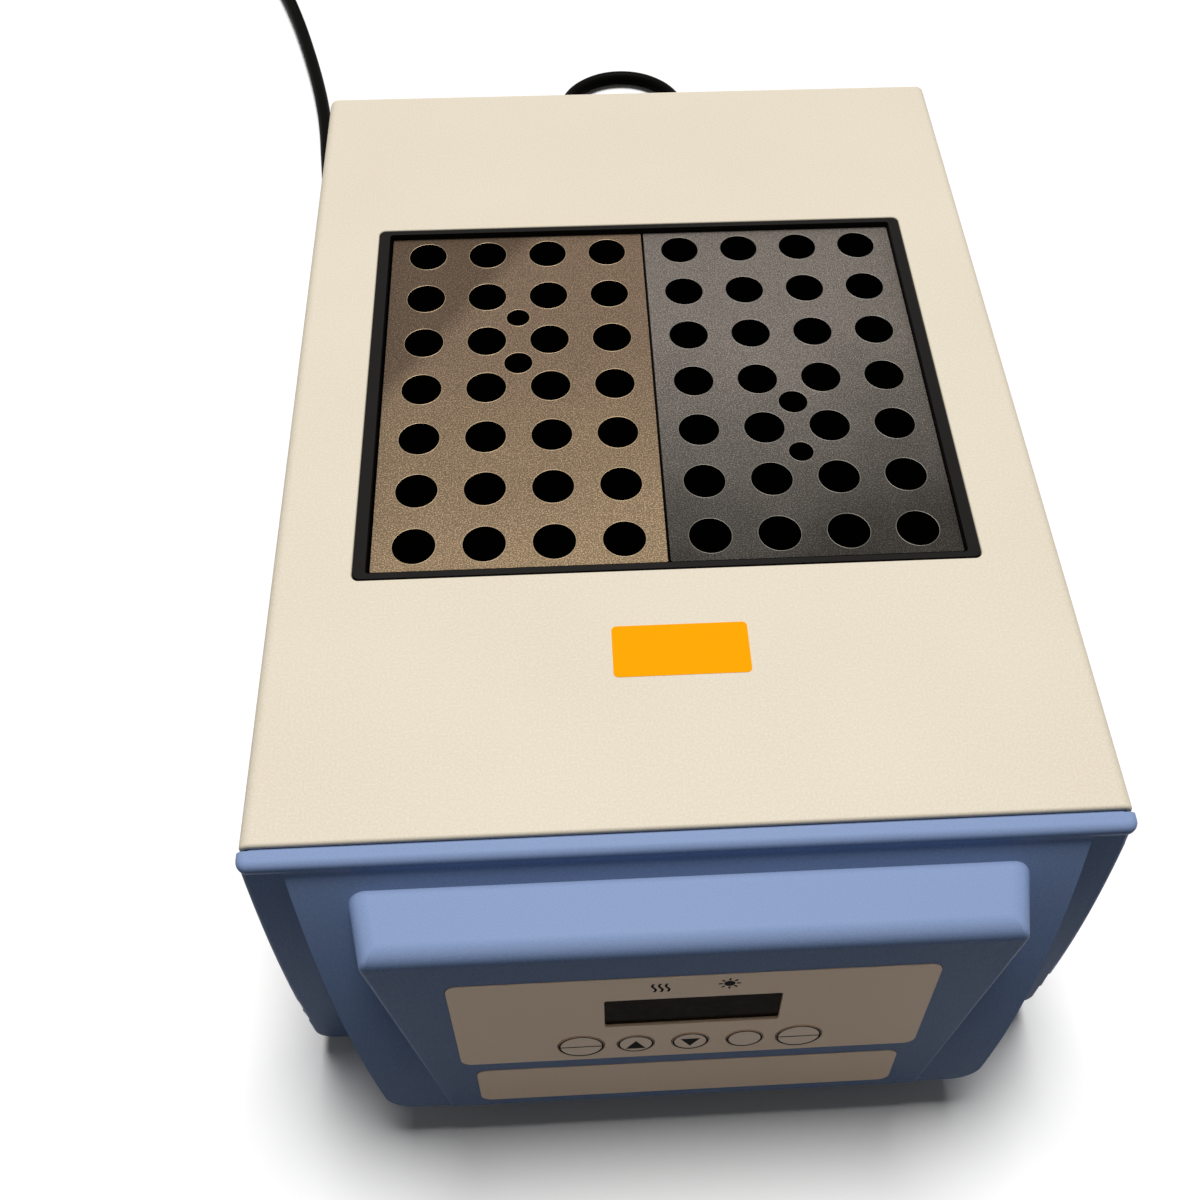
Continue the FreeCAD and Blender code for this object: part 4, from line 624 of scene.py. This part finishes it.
# %% The leaning face
LEAN = math.radians(9.0)
FOOT_Y = -158.7
FOOT_Z = 18.0
FILM_FACE = 0.2
KEY_FACE = 0.35
INK_LIFT = 0.03


def on_face(u, v, w):
    return (u, FOOT_Y + v * math.sin(LEAN) - w * math.cos(LEAN),
            FOOT_Z + v * math.cos(LEAN) + w * math.sin(LEAN))


def on_film(u, v):
    return on_face(u, v, FILM_FACE + INK_LIFT)


def on_key(u, v):
    return on_face(u, v, KEY_FACE + INK_LIFT)


print("foot of the face, mm:", FOOT_Y, FOOT_Z)

# %% Two kinds of print


def ring_print(lay, u, v, outer, inner, steps=48):
    # A flat ring; lay turns u and v into a point on the printed face
    points, faces = [], []
    for step in range(steps):
        c, s = math.cos(2 * math.pi * step / steps), math.sin(2 * math.pi * step / steps)
        points += [lay(u + outer * c, v + outer * s), lay(u + inner * c, v + inner * s)]
        a, b = 2 * step, 2 * ((step + 1) % steps)
        faces.append((a, b, b + 1, a + 1))
    return points, faces


def line_print(lay, route, width):
    # A strip of even width along a route on the face
    points, faces = [], []
    for i, (u, v) in enumerate(route):
        before, after = route[max(i - 1, 0)], route[min(i + 1, len(route) - 1)]
        half = Vector((after[0] - before[0], after[1] - before[1])).normalized() * (width / 2)
        points += [lay(u + half.y, v - half.x), lay(u - half.y, v + half.x)]
        if i:
            faces.append((2 * i - 2, 2 * i, 2 * i + 1, 2 * i - 1))
    return points, faces


print("a ring has", len(ring_print(on_key, 0, 0, 2, 1)[1]), "faces")

# %% Key prints
KEY_V = 36.4
KEY_STEP = 14.1
KEYS = {"key_set": (-2, 5.9), "key_up": (-1, 4.7), "key_down": (0, 4.7), "key_shift": (1, 4.7),
        "key_start": (2, 5.9)}
RING_INSET = 0.05
RING_LINE = 0.5
DIVIDED = ("key_set", "key_start")
DIVIDER_INSET, DIVIDER_DROP, DIVIDER_LINE = 0.3, 0.2, 0.45
TRIANGLES = {"key_up": (-2.75, 1.8), "key_down": (1.55, -2.7)}
TRIANGLE_HALF = 2.6

for name, (place_in_row, radius) in KEYS.items():
    u = place_in_row * KEY_STEP
    outer = radius - RING_INSET
    prints = [ring_print(on_key, u, KEY_V, outer, outer - RING_LINE)]
    if name in DIVIDED:
        half, v = radius - DIVIDER_INSET, KEY_V - DIVIDER_DROP
        prints.append(line_print(on_key, [(u - half, v), (u + half, v)], DIVIDER_LINE))
    if name in TRIANGLES:
        base, tip = TRIANGLES[name]
        corners = [(u - TRIANGLE_HALF, KEY_V + base), (u + TRIANGLE_HALF, KEY_V + base),
                   (u, KEY_V + tip)]
        prints.append(([on_key(*corner) for corner in corners], [(0, 1, 2)]))
    points, faces = gathered(prints)
    made_piece(name + "_print", points, faces, print_ink, name + "_part")
print("key prints:", len(KEYS))

# %% Signs over the window
WAVES = 3
WAVE_U, WAVE_V, WAVE_STEP = -9.9, 65.6, 1.65
WAVE_TALL, WAVE_SWING, WAVE_LINE = 4.2, 0.45, 0.6
WAVE_POINTS = 12
LAMP_U, LAMP_V = 8.4, 68.3
LAMP_DOT, LAMP_DOT_HOLE = 1.35, 0.02
RAYS = 8
RAY_FROM, RAY_TO, RAY_LINE = 1.65, 2.7, 0.5

signs = []
for wave in range(WAVES):
    u = WAVE_U + wave * WAVE_STEP
    route = [(u + WAVE_SWING * math.sin(2 * math.pi * step / WAVE_POINTS),
              WAVE_V + WAVE_TALL * step / WAVE_POINTS) for step in range(WAVE_POINTS + 1)]
    signs.append(line_print(on_film, route, WAVE_LINE))
signs.append(ring_print(on_film, LAMP_U, LAMP_V, LAMP_DOT, LAMP_DOT_HOLE, 24))
for ray in range(RAYS):
    c, s = math.cos(2 * math.pi * ray / RAYS), math.sin(2 * math.pi * ray / RAYS)
    route = [(LAMP_U + reach * c, LAMP_V + reach * s) for reach in (RAY_FROM, RAY_TO)]
    signs.append(line_print(on_film, route, RAY_LINE))
points, faces = gathered(signs)
made_piece("panel_signs", points, faces, print_ink, "instrument")
print("signs on the film:", len(signs), "strokes")

# %% [markdown]
# ## Recesses in the screw heads
#
# Every outside screw has a cross recess. It is too fine for the solids, so a black cross lies on
# each head, a painted shade for the recess. The heads are found on the loaded solids themselves,
# and not from a list of places: each separate lump of a screw group is one screw, and its head is
# at the end that looks outwards.

# %% Find the heads
HUNDREDTHS_IN_METRE = 1e5
HUNDREDTHS_IN_MM = 100
OUTSIDE = {"post_screws": ("z", -1), "rear_screws": ("z", -1), "foot_screws": ("z", -1),
           "inlet_screws": ("y", 1), "cover_screws": ("x", 0)}


def lumps(name):
    # Lowest and highest corner of each separate lump of a solid, in mm
    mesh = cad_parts[name].data
    owner = list(range(len(mesh.vertices)))

    def root(i):
        while owner[i] != i:
            owner[i] = owner[owner[i]]
            i = owner[i]
        return i

    for edge in mesh.edges:
        owner[root(edge.vertices[0])] = root(edge.vertices[1])
    groups = {}
    for vertex in mesh.vertices:
        key = tuple(round(c * HUNDREDTHS_IN_METRE) for c in vertex.co)
        groups.setdefault(root(vertex.index), set()).add(key)
    merged = []
    for places in groups.values():
        touching = [group for group in merged if group & places]
        for group in touching:
            places = places | group
            merged.remove(group)
        merged.append(places)
    return [tuple([pick(p[k] for p in group) / HUNDREDTHS_IN_MM for k in range(3)]
                  for pick in (min, max)) for group in merged]


heads = []
for name, (axis, facing) in OUTSIDE.items():
    k = "xyz".index(axis)
    for low, high in lumps(name):
        middle = [(a + b) / 2 for a, b in zip(low, high)]
        outward = facing or (1 if middle[k] > 0 else -1)
        middle[k] = high[k] if outward > 0 else low[k]
        heads.append((middle, k, outward))
print("screw heads:", len(heads))

# %% Cross recesses
CROSS_LONG = 3.2
CROSS_WIDE = 0.75
CROSS_LIFT = 0.03

points, faces = [], []
for middle, k, outward in heads:
    flat = [i for i in range(3) if i != k]
    for long_axis, wide_axis in (flat, flat[::-1]):
        first = len(points)
        for a, b in ((-1, -1), (1, -1), (1, 1), (-1, 1)):
            p = list(middle)
            p[long_axis] += a * CROSS_LONG / 2
            p[wide_axis] += b * CROSS_WIDE / 2
            p[k] += outward * CROSS_LIFT
            points.append(p)
        faces.append(tuple(range(first, first + 4)))
# A black cross on each head: painted shade for the recess
made_piece("screw_recesses", points, faces, painted_shade_black, "instrument")
print("cross arms:", len(faces))

# %% [markdown]
# ## Signs on the mains switch
#
# A rocker has a bar for on and a ring for off, printed in white. They are the same two kinds of
# print as on the panel, laid on the rocker's dished face, which is an arc through three points.
# They ride with the rocker.

# %% Switch signs
ROCKER_X, ROCKER_Z, PIVOT_Y = -12.0, 47.0, 154.1
ROCKER_HALF, EDGE_OUT, MIDDLE_OUT = 7.0, 4.9, 3.6
ROCKER_SWING = math.radians(10.0)
OFF_V, OFF_OUTER, OFF_INNER = -3.8, 1.5, 1.1
ON_V, ON_TALL, ON_LINE, ON_STEPS = 2.3, 3.0, 0.44, 6
sagitta = EDGE_OUT - MIDDLE_OUT
dish_radius = (ROCKER_HALF ** 2 + sagitta ** 2) / (2 * sagitta)


def on_rocker(u, v):
    # u to the right as seen from behind, v up the rocker's face
    y = MIDDLE_OUT + dish_radius - math.sqrt(dish_radius ** 2 - v ** 2) + INK_LIFT
    c, s = math.cos(ROCKER_SWING), math.sin(ROCKER_SWING)
    return (ROCKER_X - u, PIVOT_Y + y * c - v * s, ROCKER_Z + y * s + v * c)


bar = [(0, ON_V + ON_TALL * step / ON_STEPS) for step in range(ON_STEPS + 1)]
points, faces = gathered([ring_print(on_rocker, 0, OFF_V, OFF_OUTER, OFF_INNER, 24),
                          line_print(on_rocker, bar, ON_LINE)])
made_piece("switch_signs", points, faces, white_ink, "switch_rocker_part")
print("faces in the switch signs:", len(faces))

# %% [markdown]
# ## Ribs on the strain reliefs
#
# The moulded boots at both ends of the lead have ribs, so that they bend evenly. Each rib is a thin
# ring that follows the boot's taper. An array of one ring would keep one size, so the rings are
# worked out one by one.

# %% Ribs
RIB = 0.55
RIB_STRETCH = 1.3
RIBS_A_BOOT = 6
RIB_STEPS, RIB_SIDES = 28, 6
BEFORE_RIBS, AFTER_RIBS = 0.8, 0.6
BOOT_WIDE = 6.4
BOOT_TIP = 4.2
CONNECTOR_END = Vector((45, 182.8, 41))
PLUG_BOOT = 22.0
tail_heading = (Vector(tail[-1]) - Vector(tail[-2])).normalized()
BOOTS = [(CONNECTOR_END, Vector(ROUTE[0])),
         (Vector(tail[-1]) + tail_heading * PLUG_BOOT, Vector(tail[-1]))]


def ring_of_rib(middle, axis, radius):
    # A ring with a small section, stretched along the boot
    side = axis.orthogonal().normalized()
    up = axis.cross(side)
    points, faces = [], []
    for step in range(RIB_STEPS):
        angle = 2 * math.pi * step / RIB_STEPS
        out = side * math.cos(angle) + up * math.sin(angle)
        here, there = step * RIB_SIDES, (step + 1) % RIB_STEPS * RIB_SIDES
        for part in range(RIB_SIDES):
            turn = 2 * math.pi * part / RIB_SIDES
            points.append(middle + out * (radius + RIB * math.cos(turn))
                          + axis * RIB * RIB_STRETCH * math.sin(turn))
            after = (part + 1) % RIB_SIDES
            faces.append((here + part, here + after, there + after, there + part))
    return points, faces


ribs = []
for wide_end, tip in BOOTS:
    for number in range(RIBS_A_BOOT):
        share = (number + BEFORE_RIBS) / (RIBS_A_BOOT + AFTER_RIBS)
        radius = BOOT_WIDE + (BOOT_TIP - BOOT_WIDE) * share
        ribs.append(ring_of_rib(wide_end.lerp(tip, share), (tip - wide_end).normalized(), radius))
points, faces = gathered(ribs)
made_piece("relief_ribs", points, faces, plug_pvc, "instrument", True)
print("ribs:", len(ribs))

# %% [markdown]
# ## Bench and light
#
# A plain white bench carries the shadow. The light is one wide lamp high over the instrument and a
# little behind it, as a ceiling lamp would be, so the upper faces are bright and the front falls
# into shade. A sun lamp with a wide disc gives that light evenly over the whole bench, with soft
# shadows. The bench and the room show white to the camera and in reflections, and send only a
# little light back on to the object, as a dark bench in a dim room would.

# %% Bench
BENCH_SIZE = 8.0
BENCH_PASSED_ON = "#585858"
WHITE = "#FFFFFF"


def seen_directly(tree):
    # One where the camera, a reflection or a clear body looks, and zero for light that is passed on
    path = add(tree, "ShaderNodeLightPath")
    seen = (path, "Is Camera Ray")
    for ray in ("Is Glossy Ray", "Is Transmission Ray"):
        seen = (add(tree, "ShaderNodeMath", {"operation": "MAXIMUM"}, {0: seen, 1: (path, ray)}), 0)
    return seen


bench_white, tree, place = start_material("white_bench")
passed_on = add(tree, "ShaderNodeBsdfDiffuse", {"Color": linear(BENCH_PASSED_ON)})
shown = add(tree, "ShaderNodeBsdfDiffuse", {"Color": linear(WHITE)})
finish_material(tree, add(tree, "ShaderNodeMixShader", {},
                          {0: seen_directly(tree), 1: (passed_on, 0), 2: (shown, 0)}))
bench_mesh = bpy.data.meshes.new("bench")
edge = BENCH_SIZE / 2
bench_mesh.from_pydata([(-edge, -edge, 0), (edge, -edge, 0), (edge, edge, 0), (-edge, edge, 0)],
                       [], [(0, 1, 2, 3)])
bench_mesh.materials.append(bench_white)
bench = bpy.data.objects.new("bench", bench_mesh)
bpy.context.scene.collection.objects.link(bench)
print("bench width in metres:", BENCH_SIZE)

# %% Lamp
LAMP_FROM = Vector((0.03, 0.32, 1.0))
LAMP_STRENGTH = 3.24
LAMP_DISC = 24.0

lamp_data = bpy.data.lights.new("ceiling_lamp", "SUN")
lamp_data.energy = LAMP_STRENGTH
lamp_data.angle = math.radians(LAMP_DISC)
lamp = bpy.data.objects.new("ceiling_lamp", lamp_data)
bpy.context.scene.collection.objects.link(lamp)
lamp.rotation_euler = LAMP_FROM.to_track_quat("Z", "Y").to_euler()

# %% Room
ROOM_STRENGTH = 0.08

world = bpy.data.worlds.new("room")
bpy.context.scene.world = world
world.use_nodes = True
room = world.node_tree
room.nodes.clear()
dim = add(room, "ShaderNodeBackground", {"Color": linear(WHITE), "Strength": ROOM_STRENGTH})
white = add(room, "ShaderNodeBackground", {"Color": linear(WHITE), "Strength": 1.0})
either = add(room, "ShaderNodeMixShader", {},
             {0: seen_directly(room), 1: (dim, 0), 2: (white, 0)})
add(room, "ShaderNodeOutputWorld", {}, {"Surface": (either, 0)})
bpy.context.scene.view_settings.view_transform = "Standard"
print("light the room passes on:", ROOM_STRENGTH)
